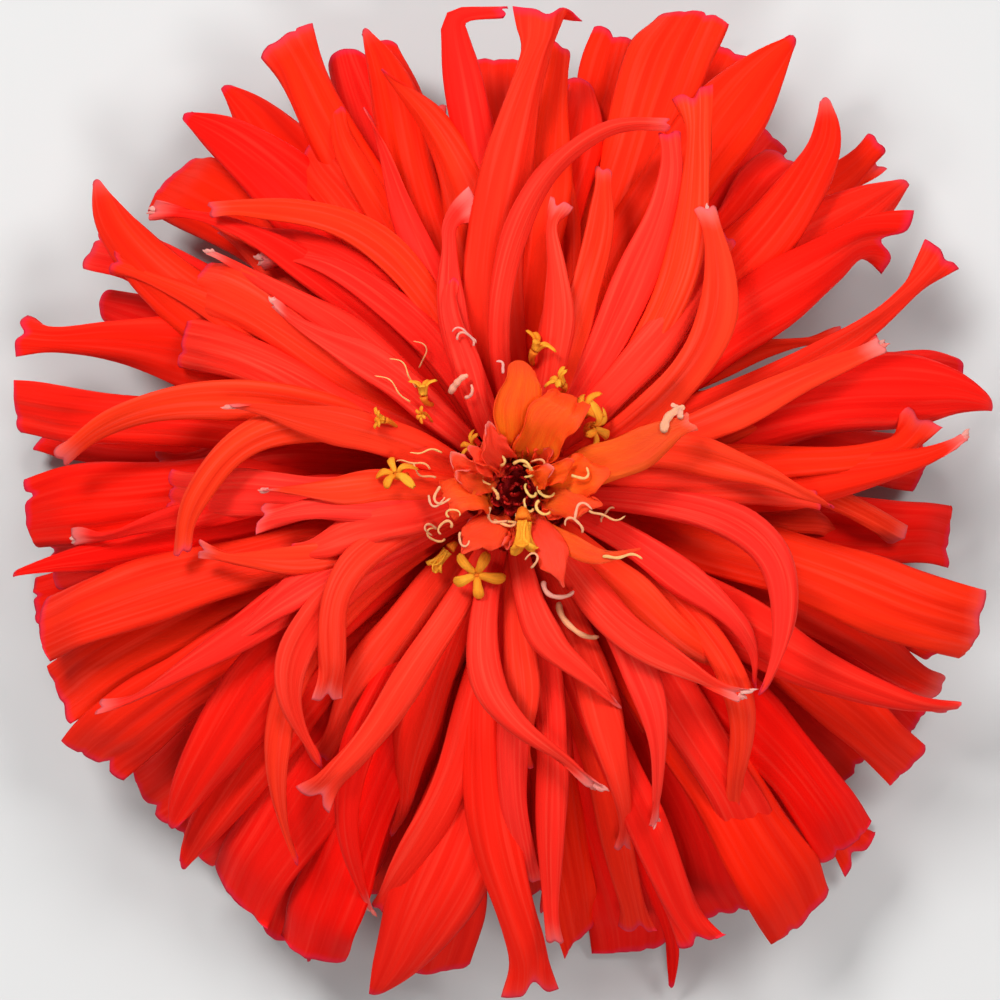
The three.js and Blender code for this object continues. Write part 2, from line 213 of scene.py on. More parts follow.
def addTube(pile, path, radii, sides, tone, shade):
    # a closed tube along a path of points, with a radius at each
    path = np.asarray(path, float)
    along = unit(np.gradient(path, axis=0))
    lead = np.array([0.3, 0.2, 1.0]) if abs(along[0][2]) < 0.8 else np.array([1.0, 0.2, 0.1])
    turn = roundAngles(sides)[:, None]
    rings = []
    for place, forward, radius in zip(path, along, radii):
        lead = unit(lead - forward * np.dot(lead, forward))
        side = np.cross(forward, lead)
        rings.append(place + radius * (np.cos(turn) * lead + np.sin(turn) * side))
    addRings(pile, rings, path[[0, -1]], np.cos(turn[:, 0]), shade, tone)


def turnedPile(profile, sides, waviness=0.0):
    # a closed turned body from a profile of (reach, height) that starts and ends on the axis
    pile = newPile()
    angles = roundAngles(sides)
    rings = []
    for reach, height in profile[1:-1]:
        r = reach * (1 + waviness * np.sin(angles * 9 + height))
        rings.append(np.stack([r * np.cos(angles), r * np.sin(angles), np.full(sides, height)], -1))
    ends = np.array([at(0, *profile[0]), at(0, *profile[-1])])
    addRings(pile, rings, ends, np.sin(angles * 3))
    return pile


def keepInside(points, margin=0.0016):
    # ends that would pass the CAD box bend back into it
    low, high = np.array(cadBox[0]), np.array(cadBox[1])
    for edge, way in ((high, 1), (low, -1)):
        past = way * (points - edge) + margin
        bent = margin * np.tanh(np.maximum(past, 0) / margin) - margin
        squeeze = past > 0
        squeeze[:, 2] &= way > 0
        points = np.where(squeeze, edge + way * bent, points)
    points[:, 2] = np.maximum(points[:, 2], 0.0)
    return points


def makePiece(name, pile, material, nodes):
    points = keepInside(np.concatenate(pile["points"]) * mm + axisPlace)
    faces = np.concatenate(pile["faces"])
    marks = np.concatenate(pile["marks"])
    mesh = bpy.data.meshes.new(name)
    rows = [f[:3] if f[2] == f[3] else f for f in faces.tolist()]
    mesh.from_pydata(points.tolist(), [], rows)
    for i, markName in enumerate(markNames):
        attribute = mesh.attributes.new(markName, "FLOAT", "POINT")
        attribute.data.foreach_set("value", marks[:, i].astype(np.float32))
    mesh.polygons.foreach_set("use_smooth", np.ones(len(mesh.polygons), bool))
    mesh.materials.append(material)
    piece = bpy.data.objects.new(name, mesh)
    bpy.context.collection.objects.link(piece)
    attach(piece, "root")
    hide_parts(*nodes)
    print("zinnia:", name, len(mesh.polygons), "faces")


# Small helpers for materials

def newMaterial(name, roughness, specular):
    material = bpy.data.materials.new(name)
    material.use_nodes = True
    tree = material.node_tree
    shader = tree.nodes["Principled BSDF"]
    shader.inputs["Roughness"].default_value = roughness
    shader.inputs["Specular IOR Level"].default_value = specular
    return material, tree, shader


def softLight(shader, weight, radius, depth):
    # light that passes under the skin
    shader.inputs["Subsurface Weight"].default_value = weight
    shader.inputs["Subsurface Radius"].default_value = radius
    shader.inputs["Subsurface Scale"].default_value = depth


def mark(tree, name):
    node = tree.nodes.new("ShaderNodeAttribute")
    node.attribute_name = name
    return node.outputs["Fac"]


def feed(tree, socket, value):
    # a number or a colour is set, anything else is another node's output
    if isinstance(value, (int, float)):
        socket.default_value = value
    elif isinstance(value, tuple):
        socket.default_value = (*value, 1.0)
    else:
        tree.links.new(value, socket)


def maths(tree, kind, *values):
    node = tree.nodes.new("ShaderNodeMath")
    node.operation = kind
    for socket, value in zip(node.inputs, values):
        feed(tree, socket, value)
    return node.outputs[0]


def times(tree, a, b):
    return maths(tree, "MULTIPLY", a, b)


def mixed(tree, amount, colourA, colourB, kind="MIX"):
    node = tree.nodes.new("ShaderNodeMix")
    node.data_type = "RGBA"
    node.blend_type = kind
    feed(tree, node.inputs[0], amount)
    feed(tree, node.inputs[6], colourA)
    feed(tree, node.inputs[7], colourB)
    return node.outputs[2]


def tinted(tree, colour, look, washes):
    # lays tints from a look over a colour, each with its own strength
    for amount, tint in washes:
        colour = mixed(tree, amount, colour, look[tint])
    return colour


def ramp(tree, amount, stops):
    node = tree.nodes.new("ShaderNodeValToRGB")
    tree.links.new(amount, node.inputs[0])
    bar = node.color_ramp.elements
    while len(bar) < len(stops):
        bar.new(0.5)
    for element, (place, value) in zip(bar, stops):
        element.position = place
        element.color = (*value, 1) if isinstance(value, tuple) else (value, value, value, 1)
    return node.outputs[0]


def noise(tree, place, scale, detail):
    node = tree.nodes.new("ShaderNodeTexNoise")
    node.inputs["Scale"].default_value = scale
    node.inputs["Detail"].default_value = detail
    tree.links.new(place, node.inputs["Vector"])
    return node.outputs[0]


def streaks(tree, lengthwise, crosswise, detail=3.0):
    # noise drawn out along the petal, and different on each one
    join = tree.nodes.new("ShaderNodeCombineXYZ")
    for socket, name, scale in zip(join.inputs, ("along", "across", "shade"), (lengthwise, crosswise, 61.0)):
        tree.links.new(times(tree, mark(tree, name), scale), socket)
    return noise(tree, join.outputs[0], 1.0, detail)


def dress(tree, shader, colour, relief, strength, depth):
    # colours the surface and gives it fine relief
    bump = tree.nodes.new("ShaderNodeBump")
    bump.inputs["Strength"].default_value = strength
    bump.inputs["Distance"].default_value = depth
    tree.links.new(relief, bump.inputs["Height"])
    tree.links.new(bump.outputs[0], shader.inputs["Normal"])
    tree.links.new(colour, shader.inputs["Base Color"])


petalLook = {
    "scarlet": (0.92, 0.0038, 0.001),  # the outer rays,
    "orange": (0.94, 0.017, 0.002),  # some of which lean towards orange
    "deep": (0.64, 0.001, 0.0005),  # in the streaks, and as painted shade towards each ray's root
    "coral": (0.94, 0.031, 0.020),  # the inner rays,
    "amber": (0.95, 0.044, 0.010),  # some of which are warmer
    "light": (0.96, 0.082, 0.047),  # faint lengthwise veins, partly a painted highlight along the fine ribs
    "rim": (0.76, 0.022, 0.070),  # crimson at the cut ends
    "under": (0.80, 0.008, 0.003),
    "dry": (0.80, 0.22, 0.19),  # pale dried ends
    "roughness": 0.6,
}


def petalMaterial():
    look = petalLook
    material, tree, shader = newMaterial("petalScarlet", look["roughness"], 0.045)
    along, tone = mark(tree, "along"), mark(tree, "tone")
    hue = ramp(tree, mark(tree, "shade"), [(0.2, 0.0), (0.9, 1.0)])
    outer = mixed(tree, hue, look["scarlet"], look["orange"])
    inner = mixed(tree, hue, look["coral"], look["amber"])
    grain = streaks(tree, 1.4, 3.5)
    streak = ramp(tree, grain, [(0.36, 0.0), (0.68, 1.0)])
    # lighter lengthwise streaks: veins, and partly a painted highlight on the ribs, stronger on the inner
    # rays
    veinAndHighlight = ramp(tree, streaks(tree, 2.2, 9.0, 2.0), [(0.5, 0.0), (0.72, 1.0)])
    veinAndHighlightStrength = maths(tree, "ADD", times(tree, tone, 0.34), 0.12)
    # painted shade: each ray darkens to the deep colour over the first third of its length, towards its
    # root, where the rays lie in each other's shade
    base = ramp(tree, along, [(0.0, 1.0), (0.34, 0.0)])
    rim = ramp(tree, along, [(0.978, 0.0), (1.0, 1.0)])
    colour = tinted(tree, mixed(tree, tone, outer, inner), look, [
        (times(tree, streak, 0.42), "deep"),
        (times(tree, veinAndHighlight, veinAndHighlightStrength), "light"),
        (times(tree, mark(tree, "under"), 0.6), "under"),
        (times(tree, base, 0.6), "deep"),
        (times(tree, rim, 0.75), "rim"),
        (times(tree, mark(tree, "pale"), 0.8), "dry"),
    ])
    dress(tree, shader, colour, streaks(tree, 4.0, 14.0, 4.0), 0.35, 0.0002)
    rough = ramp(tree, grain, [(0.3, look["roughness"] - 0.08), (0.7, look["roughness"] + 0.1)])
    tree.links.new(rough, shader.inputs["Roughness"])
    return material


youngLook = {
    "orange": (0.93, 0.085, 0.005),
    "base": (0.88, 0.20, 0.008),  # yellow towards the disc
    "rim": (0.90, 0.034, 0.006),  # redder in the streaks, at the edges and at the end
    "coral": (0.90, 0.040, 0.016),  # the reddest of the young rays
    "dry": petalLook["dry"],
}


def youngMaterial():
    look = youngLook
    material, tree, shader = newMaterial("petalYoung", 0.5, 0.1)
    along = mark(tree, "along")
    base = ramp(tree, along, [(0.2, 1.0), (0.7, 0.0)])
    streak = ramp(tree, streaks(tree, 1.5, 5.0), [(0.4, 0.0), (0.65, 1.0)])
    edge = ramp(tree, maths(tree, "ABSOLUTE", mark(tree, "across")), [(0.7, 0.0), (1.0, 0.8)])
    tip = ramp(tree, along, [(0.86, 0.0), (1.0, 1.0)])
    colour = tinted(tree, look["orange"], look, [
        (base, "base"),
        (times(tree, streak, 0.35), "rim"),
        (edge, "rim"),
        (times(tree, tip, 0.8), "rim"),
        (mark(tree, "tone"), "coral"),
        (mark(tree, "pale"), "dry"),
    ])
    dress(tree, shader, colour, streaks(tree, 4.0, 16.0, 4.0), 0.5, 0.0002)
    softLight(shader, 0.3, (1.0, 0.4, 0.12), 0.002)
    return material


def toneMaterial(name, colours, roughness, subsurface):
    # the tone mark picks the colour, from 0 for the first to 1 for the last
    material, tree, shader = newMaterial(name, roughness, 0.12)
    steps = len(colours) - 1
    colour = ramp(tree, mark(tree, "tone"), [(i / steps, c) for i, c in enumerate(colours)])
    streak = ramp(tree, streaks(tree, 3.0, 5.0), [(0.35, 0.82), (0.65, 1.0)])
    colour = mixed(tree, 1.0, colour, streak, "MULTIPLY")
    dress(tree, shader, colour, streaks(tree, 14.0, 10.0), 0.4, 0.00015)
    softLight(shader, subsurface, (1.0, 0.6, 0.2), 0.001)
    return material


petal = petalMaterial()
youngPetal = youngMaterial()
print("zinnia: petal materials made")

# The rays in their layers, from the lowest up. Root is the reach and height where a layer's rays start; mid
# and tip are heights. A ray is its root's angle, its middle's angle and reach, its tip's angle and reach,
# its width and its form. Some also say how pale the end is, how far it hooks to the right in degrees, and
# how many mm its right corner stands further out than its left. The layer without a list is filled with
# narrow rays.
rayLayers = [
    {"name": "hangingRays", "root": (6.8, 21), "mid": 16.5, "tip": 2.2, "droops": False, "rays": [
        (12, 7, 34, 3.8, 45.5, 6.4, "strap"),
        (65, 64.4, 30, 64.8, 54.6, 7, "strap"),
        (112, 112.5, 34, 112, 49.5, 8, "blunt"),
        (118, 118, 30, 118.5, 47, 7, "strap"),
        (171, 172.5, 36, 173.4, 53, 4.6, "strap"),
        (191, 192.5, 36, 193, 55, 6, "strap"),
        (239, 240.5, 36, 241.6, 56.4, 6, "blunt"),
        (245, 245.6, 36, 246.2, 57.2, 6.4, "wedge"),
        (286, 284, 34, 284, 53, 9.5, "strap"),
        (292, 290, 38, 287.6, 58, 5, "point"),
        (317, 315, 36, 313.5, 56, 6.5, "fork"),
        (323, 322, 32, 320.3, 49, 8, "strap"),
        (334, 331, 36, 329.6, 52, 5.5, "strap"),
    ]},
    {"name": "lowRays", "root": (6.5, 23), "mid": 21.5, "tip": 9, "rays": [
        (41, 43.5, 38, 42.2, 54.3, 5.6, "neck", 0.2),
        (47, 46.5, 36, 43.8, 55.7, 6, "quill"),
        (22, 18.5, 34, 14.6, 51, 6, "blunt"),
        (57, 56.4, 32, 55.4, 48.8, 7, "strap"),
        (77.5, 77, 30, 76.2, 51.6, 7.6, "strap"),
        (88, 87.5, 30, 86.5, 45, 6.5, "strap"),
        (95, 94.5, 32, 94, 48, 8, "strap"),
        (103, 105, 36, 106.8, 51.8, 5.8, "blunt"),
        (113, 113, 34, 111.2, 52, 7.4, "blunt"),
        (119, 121, 34, 125.6, 55, 9, "wedge"),
        (131, 133, 33, 138.4, 51.6, 8.4, "strap", 0, 0, -3),
        (152, 154, 36, 156, 50, 7.4, "blunt"),
        (184, 186.5, 36, 188.7, 52, 6.5, "strap"),
        (206, 206, 30, 206.4, 50, 6.5, "strap"),
        (219, 219.5, 32, 219.8, 53.4, 8, "strap"),
        (226, 226.5, 32, 227.3, 53.6, 7.5, "strap"),
        (250, 250.5, 30, 250, 47.5, 8, "strap"),
        (257, 257, 30, 257, 44, 6, "blunt"),
        (262, 261, 36, 260.4, 54.3, 8.5, "strap"),
        (273, 273, 30, 272.5, 45, 8, "strap"),
        (279.5, 279, 30, 278.4, 50.4, 6, "strap"),
        (294, 293.5, 32, 293.5, 50, 6.5, "strap"),
        (303, 300, 34, 297.5, 53, 7.5, "strap"),
        (310, 309, 34, 308, 52.5, 6, "strap"),
        (331, 328, 36, 324.9, 53.7, 6.5, "strap"),
        (357, 353, 30, 353.8, 48.6, 7.5, "strap", 0, 0, -3),
    ]},
    {"name": "wideRays", "root": (6, 25.3), "mid": 26, "tip": 15.5, "rays": [
        (20, 16, 35, 10, 54, 8.8, "wedge", 0.1, 14),
        (41, 40.2, 38, 38.4, 54.8, 9.4, "wedge", 0.1, -8),
        (53, 50, 34, 48.6, 47.6, 8.2, "strap", 0.1),
        (50, 48.4, 42, 51.4, 55.2, 6.8, "wedge", 0.4, -18),
        (63, 60, 38, 58.2, 58.4, 9.4, "wedge", 0, 8),
        (71, 70.6, 30, 69.6, 56.4, 9, "strap"),
        (81.5, 81.5, 32, 80.8, 45.8, 6, "blunt"),
        (109, 110, 36, 108, 53.4, 6.5, "wedge", 0.2),
        (114, 116.2, 34, 116.9, 56.3, 7.2, "fan", 0.1, 0, 0.5),
        (122, 125, 33, 131.2, 55.1, 8.6, "wedge"),
        (143, 146.5, 36, 149.6, 54, 6.4, "strap", 0.1, 6, 2),
        (146, 149.5, 42, 143.6, 57.4, 7, "wedge", 0.3, 18),
        (152, 155, 34, 162.8, 57.6, 10, "neck", 0, 10),
        (165, 168, 36, 170.6, 56.4, 6, "strap"),
        (177, 179.8, 36, 182.8, 54, 8.4, "strap", 0, 0, -4),
        (187, 189, 38, 189.5, 56.6, 6, "point"),
        (196, 200, 34, 204.3, 55.5, 7, "strap"),
        (209, 211.6, 36, 212.6, 55.6, 8.6, "strap", 0, 0, 0.8),
        (220, 225, 38, 228.6, 55.6, 6.4, "wedge"),
        (231, 234, 34, 236, 54.9, 9.6, "strap"),
        (240, 243, 34, 246, 56.4, 8.5, "strap"),
        (262, 258.8, 42, 254.6, 58, 10.4, "wedge"),
        (253, 252.5, 26, 251.6, 40.4, 6.4, "quill"),
        (288, 286, 34, 285.5, 50.6, 5, "fork"),
        (309, 305.6, 40, 303.9, 57.4, 9.4, "strap", 0, 0, 2),
        (320, 315.5, 38, 313.2, 54, 7.6, "strap"),
        (339, 337.5, 37, 335, 51.7, 6.6, "quill", 0.4),
        (343, 340.5, 36, 338.8, 49.7, 6, "quill"),
    ]},
    {"name": "middleRays", "root": (5.3, 27.8), "mid": 30, "tip": 21, "rays": [
        (2, 2, 34, 6.8, 50, 6.2, "point", 0.8),
        (13, 8.5, 34, 10.2, 45.6, 5.4, "flare", 0.2, -26),
        (31, 24.3, 38, 28.9, 53.9, 5, "flare", 0, -12),
        (36, 35.2, 36, 33, 50, 9, "fork", 0, 22),
        (84, 84.4, 34, 84.2, 48.9, 5.8, "quill"),
        (97, 97.5, 38, 97.6, 57.6, 6.4, "arm", 0, 84),
        (97, 101.5, 36, 107.5, 48.3, 6.6, "point"),
        (112, 115, 32, 115.2, 46.5, 4.2, "quill"),
        (118, 119.5, 30, 121, 44, 6, "strap"),
        (122, 129, 36, 136, 41.5, 3.3, "quill", 0.2),
        (131, 134.5, 36, 142.4, 50.5, 3.8, "neck", 0.6),
        (147, 149.5, 36, 150.5, 51, 5.2, "neck"),
        (180, 183, 36, 186.4, 49, 3.9, "neck", 0.7),
        (192, 195, 34, 196.4, 54.4, 7.5, "strap"),
        (214, 218.8, 40, 224.4, 53, 7.6, "wedge"),
        (218, 220, 20, 221, 30, 4.7, "quill"),
        (238, 242.5, 39, 251.1, 49.1, 3.9, "point", 0.7),
        (245, 247, 30, 250.5, 40.3, 5.2, "point"),
        (259, 257.5, 34, 252.2, 48.5, 4.7, "quill"),
        (257, 266, 39, 271.8, 55.6, 6.8, "fork", 0.1, 22),
        (294, 290.5, 36, 292.5, 54, 6, "fork"),
        (312, 307, 34, 303.2, 48.6, 6, "strap"),
        (334, 329.5, 38, 333.2, 53.8, 6.8, "neck", 0.2),
        (348, 345, 36, 343.6, 53.2, 8.6, "strap", 0.2, 0, 4),
    ]},
    {"name": "shadeRays", "root": (5.6, 27), "mid": 27.5, "tip": 19, "rays": []},
    {"name": "highRays", "root": (4.4, 30), "mid": 34, "tip": 27, "rays": [
        (33, 37.5, 26, 42, 36.4, 4.6, "fork"),
        (92, 91.2, 36, 85.7, 52.8, 8.6, "flare", 0, -18, 6),
        (110, 112.5, 28, 111.4, 44.4, 4.6, "neck", 0.3),
        (119, 124, 36, 137.3, 45.4, 3.9, "quill", 0.2),
        (117, 127, 28, 137.8, 37.6, 4, "neck", 0.9),
        (133, 138, 30, 142, 42.5, 4, "neck", 1.0),
        (141, 144, 28, 147, 42, 6, "strap"),
        (152, 154.5, 28, 156, 40, 5.5, "strap"),
        (160, 166, 38, 176, 50, 4.6, "quill", 0.5),
        (184, 181.5, 26, 180, 38, 5.1, "strap"),
        (201, 206, 38, 207.4, 51.5, 5.1, "neck", 0.5, 20),
        (216, 225.5, 38, 239.6, 47.5, 3.7, "point"),
        (229, 231.5, 24, 234, 36, 5.1, "quill"),
        (266, 269.5, 30, 271.5, 43, 4.4, "fork", 0.2),
        (277, 278, 28, 275, 49.8, 3.9, "quill", 0.4),
        (287, 290.5, 31, 286.7, 41.2, 4.4, "neck", 0.3),
        (322, 317.5, 34, 304.7, 43, 4, "fork", 0, -15),
    ]},
    {"name": "innerRays", "root": (3.6, 32.2), "mid": 37.5, "tip": 33, "rays": [
        (1, 0, 24, -2, 33, 4.6, "quill"),
        (14, 20, 28, 21.6, 43, 4, "quill", 0.9),
        (45, 47, 24, 50, 36, 4.6, "quill"),
        (51, 53.5, 30, 66, 47.6, 5.1, "fork"),
        (59, 60.5, 27, 66.5, 42.5, 4.8, "quill"),
        (70, 71, 26, 74.5, 36.3, 4.2, "quill", 0.2),
        (80, 83.5, 33, 67.3, 43.3, 3.1, "quill", 0.3, 10),
        (106, 107, 24, 102, 33, 4.2, "flare", 0.9, 55),
        (136, 139, 24, 142.3, 33.4, 4.2, "neck", 1.0),
        (171, 171, 30, 190.5, 37, 4.2, "quill", 0.1, -20),
        (197, 196.3, 27, 190.5, 35.1, 4.1, "neck", 0.5),
        (201, 204.5, 28, 207.8, 39.1, 4.8, "neck", 0.4),
        (214, 220.5, 32, 234.6, 37, 4.6, "point", 0),
        (246, 239.5, 28, 236.8, 40.4, 4.4, "fork", 0.4),
        (271, 271.5, 20, 272, 30, 4.1, "quill"),
        (308, 302, 28, 293, 39.5, 4, "neck", 0.6),
        (320, 319.5, 22, 320, 31, 4.4, "quill"),
        (336, 328.5, 25, 320.8, 33.9, 4, "point", 0),
    ]},
    {"name": "crownRays", "root": (2.8, 34.2), "mid": 40.5, "tip": 37.5, "rays": [
        (10, 7.5, 24, -3, 34.5, 4.5, "point"),
        (36, 41.5, 29, 56, 37, 4.8, "quill", 0.6),
        (75, 77.5, 22, 81, 31.8, 4.2, "neck", 0.5, 20),
        (112, 111, 16, 107, 24, 3, "quill"),
        (160, 161, 20, 163.7, 32.2, 4.8, "point", 0.6),
        (178, 178, 18, 180, 27.3, 4.2, "neck", 0.8),
        (186, 187, 18, 186.3, 28, 3.8, "fork", 0.3),
        (195, 196, 17, 196, 25, 4.5, "quill"),
        (212, 212.5, 24.5, 228, 30.7, 4.4, "fork", 0.5, 10),
        (259, 267.5, 25, 285, 33.5, 3.8, "neck", 1.0),
        (270, 284, 18, 295.6, 26.2, 3.8, "point", 0.5),
        (314, 311.5, 25, 318, 33.4, 4.4, "neck", 0.9),
        (345, 339, 31.5, 320.7, 34.8, 4.6, "point", 0),
    ]},
]

# Outline and section for each kind of ray end, as stops along the length. Width is a share of the full
# width, and roll is how far each edge turns under, in degrees. A higher fold keeps the middle flatter,
# twist is how far an end may turn, in degrees, and curl is how much it tends to rise.
rayForms = {
    "strap": {
        "width": [(0, 0.4), (0.32, 0.82), (0.62, 0.94), (0.88, 1.0), (1, 0.96)],
        "roll": [(0, 130), (0.4, 100), (0.8, 66), (1, 24)], "fold": 2.4, "twist": 14, "curl": -0.7},
    "fan": {  # a strap with a waist before its end
        "width": [(0, 0.4), (0.32, 0.82), (0.62, 0.92), (0.84, 0.68), (0.93, 0.76), (1, 1.02)],
        "roll": [(0, 130), (0.4, 104), (0.84, 92), (1, 20)], "fold": 2.2, "twist": 14, "curl": -0.3},
    "fork": {
        "width": [(0, 0.4), (0.3, 0.76), (0.6, 0.78), (0.85, 0.66), (0.93, 0.66), (1, 0.9)],
        "roll": [(0, 130), (0.4, 120), (0.85, 120), (1, 24)], "fold": 1.8, "twist": 36, "curl": -0.1},
    "point": {
        "width": [(0, 0.4), (0.3, 0.84), (0.55, 0.94), (0.78, 0.58), (0.92, 0.27), (1, 0.1)],
        "roll": [(0, 130), (0.4, 112), (0.85, 135), (1, 120)], "fold": 1.7, "twist": 50, "curl": 0.0},
    "neck": {
        "width": [(0, 0.4), (0.3, 0.86), (0.55, 0.92), (0.78, 0.5), (0.93, 0.28), (1, 0.4)],
        "roll": [(0, 130), (0.4, 112), (0.9, 160), (1, 60)], "fold": 1.7, "twist": 50, "curl": 0.1},
    "arm": {  # bends sharply aside before its end
        "width": [(0, 0.4), (0.3, 0.82), (0.55, 0.86), (0.76, 0.68), (0.86, 0.46), (0.93, 0.34), (1, 0.36)],
        "roll": [(0, 130), (0.4, 112), (0.8, 130), (1, 110)], "fold": 1.6, "twist": 6, "curl": 0.0},
    "quill": {
        "width": [(0, 0.5), (0.3, 0.84), (0.6, 0.92), (0.84, 0.66), (0.95, 0.46), (1, 0.5)],
        "roll": [(0, 140), (0.4, 150), (0.9, 168), (1, 150)], "fold": 1.2, "twist": 25, "curl": 0.1},
    "blunt": {
        "width": [(0, 0.4), (0.32, 0.84), (0.62, 0.95), (0.86, 0.88), (1, 0.62)],
        "roll": [(0, 130), (0.4, 105), (0.8, 95), (1, 70)], "fold": 1.7, "twist": 20, "curl": -0.4},
    "wedge": {  # wide, then cut off to a corner
        "width": [(0, 0.4), (0.3, 0.84), (0.6, 1.0), (0.8, 0.86), (0.93, 0.5), (1, 0.16)],
        "roll": [(0, 130), (0.4, 105), (0.8, 92), (1, 100)], "fold": 1.9, "twist": 24, "curl": 0.0},
    "flare": {  # a narrow neck that opens out at the end
        "width": [(0, 0.5), (0.3, 0.86), (0.58, 0.72), (0.84, 0.46), (0.92, 0.5), (1, 1.0)],
        "roll": [(0, 140), (0.4, 130), (0.88, 140), (1, 14)], "fold": 1.5, "twist": 20, "curl": 0.3},
    "tongue": {  # the short young rays
        "width": [(0, 0.6), (0.3, 0.86), (0.62, 1.0), (0.86, 0.9), (1, 0.55)],
        "roll": [(0, 90), (0.4, 56), (0.8, 40), (1, 26)], "fold": 1.5, "twist": 10, "curl": 0.1},
    "spoon": {  # the buds
        "width": [(0, 0.35), (0.3, 0.72), (0.6, 1.0), (0.85, 0.88), (1, 0.5)],
        "roll": [(0, 120), (0.4, 80), (0.8, 62), (1, 60)], "fold": 1.4, "twist": 20, "curl": 0.2},
}

rayFinish = {
    "rows": 38,
    "columns": 23,
    "thickness": 0.22,
    "furrow": 0.5,  # slope of the furrows, in radians
    "rib": 0.12,  # and of the fine ribs on them
    "tilt": 22,  # degrees a ray leans to one side or the other
    "sway": 0.16,  # how far it rocks along its length, in radians
    "wave": 0.5,  # how far it rises and falls, in mm
    "bow": 0.35,  # how far it winds from side to side
    "crinkle": 0.22,  # how far its edges flutter
    "swell": 0.07,  # how much its width varies
    "twist": 12,  # degrees a whole ray turns, either way
    "strayHook": 18,  # degrees over which an end's hook varies
    "slightHook": 32,  # an end that hooks less comes to its own place all the same
    "sharpHook": 60,  # an end that hooks more does so all at once
    "tipCurl": 1.6,  # how far an end rises or sinks, in mm
    "lobeCurl": 1.1,  # and each lobe of it
    "lowTip": 5,  # a layer with its tips below this doesn't curl them into the floor
    "droopMid": 1.5,  # how much lower the rays at the picture's bottom hang, halfway
    "droopTip": 4.0,  # and at their ends
}


def numberSource(seed):
    state = seed
    while True:
        state = state * 48271 % 2147483647
        yield state / 2147483647


def rayLine(ray, layer):
    # an arc through root, middle and tip: its three control points and its length
    rootAngle, midAngle, midReach, tipAngle, tipReach = ray[:5]
    hang = max(0.0, -math.sin(math.radians(tipAngle))) if layer.get("droops", True) else 0.0
    root = at(rootAngle, *layer["root"])
    mid = at(midAngle, midReach, layer["mid"] - rayFinish["droopMid"] * hang)
    tip = at(tipAngle, tipReach, layer["tip"] - rayFinish["droopTip"] * hang)
    first, second = np.linalg.norm(mid - root), np.linalg.norm(tip - mid)
    t = first / (first + second)
    control = (mid - (1 - t) ** 2 * root - t * t * tip) / (2 * t * (1 - t))
    return root, control, tip, first + second


def raySpine(ray, layer, hook):
    # the ray's line as a fine chain of places and headings; its end may hook to one side
    root, control, tip, length = rayLine(ray, layer)
    t = np.linspace(0, 1, 81)[:, None]
    places = (1 - t) ** 2 * root + 2 * t * (1 - t) * control + t * t * tip
    heading = unit(2 * (1 - t) * (control - root) + 2 * t * (tip - control))
    side = unit(np.cross(heading, upward))
    start, end = (0.82, 0.98) if abs(hook) < rayFinish["sharpHook"] else (0.86, 0.93)
    turn = math.radians(hook) * easeIn(start, end, t)
    heading = heading * np.cos(turn) + side * np.sin(turn)
    step = np.linalg.norm(np.diff(places, axis=0), axis=1)[:, None]
    onward = np.cumsum(step * (heading[1:] + heading[:-1]) / 2, axis=0)
    return np.concatenate([places[:1], places[0] + onward]), heading, length


def alongSpine(chain, t):
    stops = np.linspace(0, 1, len(chain))
    return np.stack([np.interp(t, stops, chain[:, k]) for k in range(3)], -1)


def tipCut(form, v, width, corner, luck):
    # how far each place across the end is pulled back, in mm, and how far its lobes curl
    edge = np.abs(v)
    slant = about(0.3 * width, luck) * v
    if corner:
        side = (1 + np.sign(corner) * v) / 2
        slant = abs(corner) * (0.35 - side ** 2)
    first, second = -0.5 + 0.35 * luck(), 0.15 + 0.35 * luck()
    lift = (luck(3) - 0.5) * 2 * rayFinish["lobeCurl"]
    if form in ("strap", "fan"):
        deep = width / 9 * (0.15 + 1.3 * luck(2) ** 2.5)
        cut = deep[0] * dent(v, first, 0.12) + deep[1] * dent(v, second, 0.10)
        cut = cut + 0.25 * easeIn(0.86, 1, edge) + 0.1 * np.sin(7 * v + 9 * first) + slant
        curl = np.interp(v, [-1, first, second, 1], [lift[0], lift[1] * 0.3, lift[1] * 0.5, lift[2]])
        return cut, curl
    if form in ("fork", "neck", "flare", "arm"):
        middle = about(0.5, luck)
        deep = (0.8 + 1.1 * luck()) * (1.0 if form == "fork" else 0.6) * width / 5.5
        cut = deep * dent(v, middle, 0.28) + (1.2 * luck() - 0.4) * easeIn(middle, 1, v) + slant
        curl = np.interp(v, [-1, middle, 1], [lift[0] * 1.2, 0, lift[2] * 1.2])
        return cut, curl
    if form == "tongue":
        return 1.1 * edge ** 2.5 + 0.12 * np.sin(5 * v + 9 * first) + slant * 0.4, lift[0] * 0.4 * v
    if form == "quill":
        return 0.5 * edge ** 2 + 0.5 * dent(v, first + 0.3, 0.2) + slant, lift[0] * 0.2 * v
    return 1.1 * edge ** 2 + slant * 0.5, lift[0] * 0.4 * v


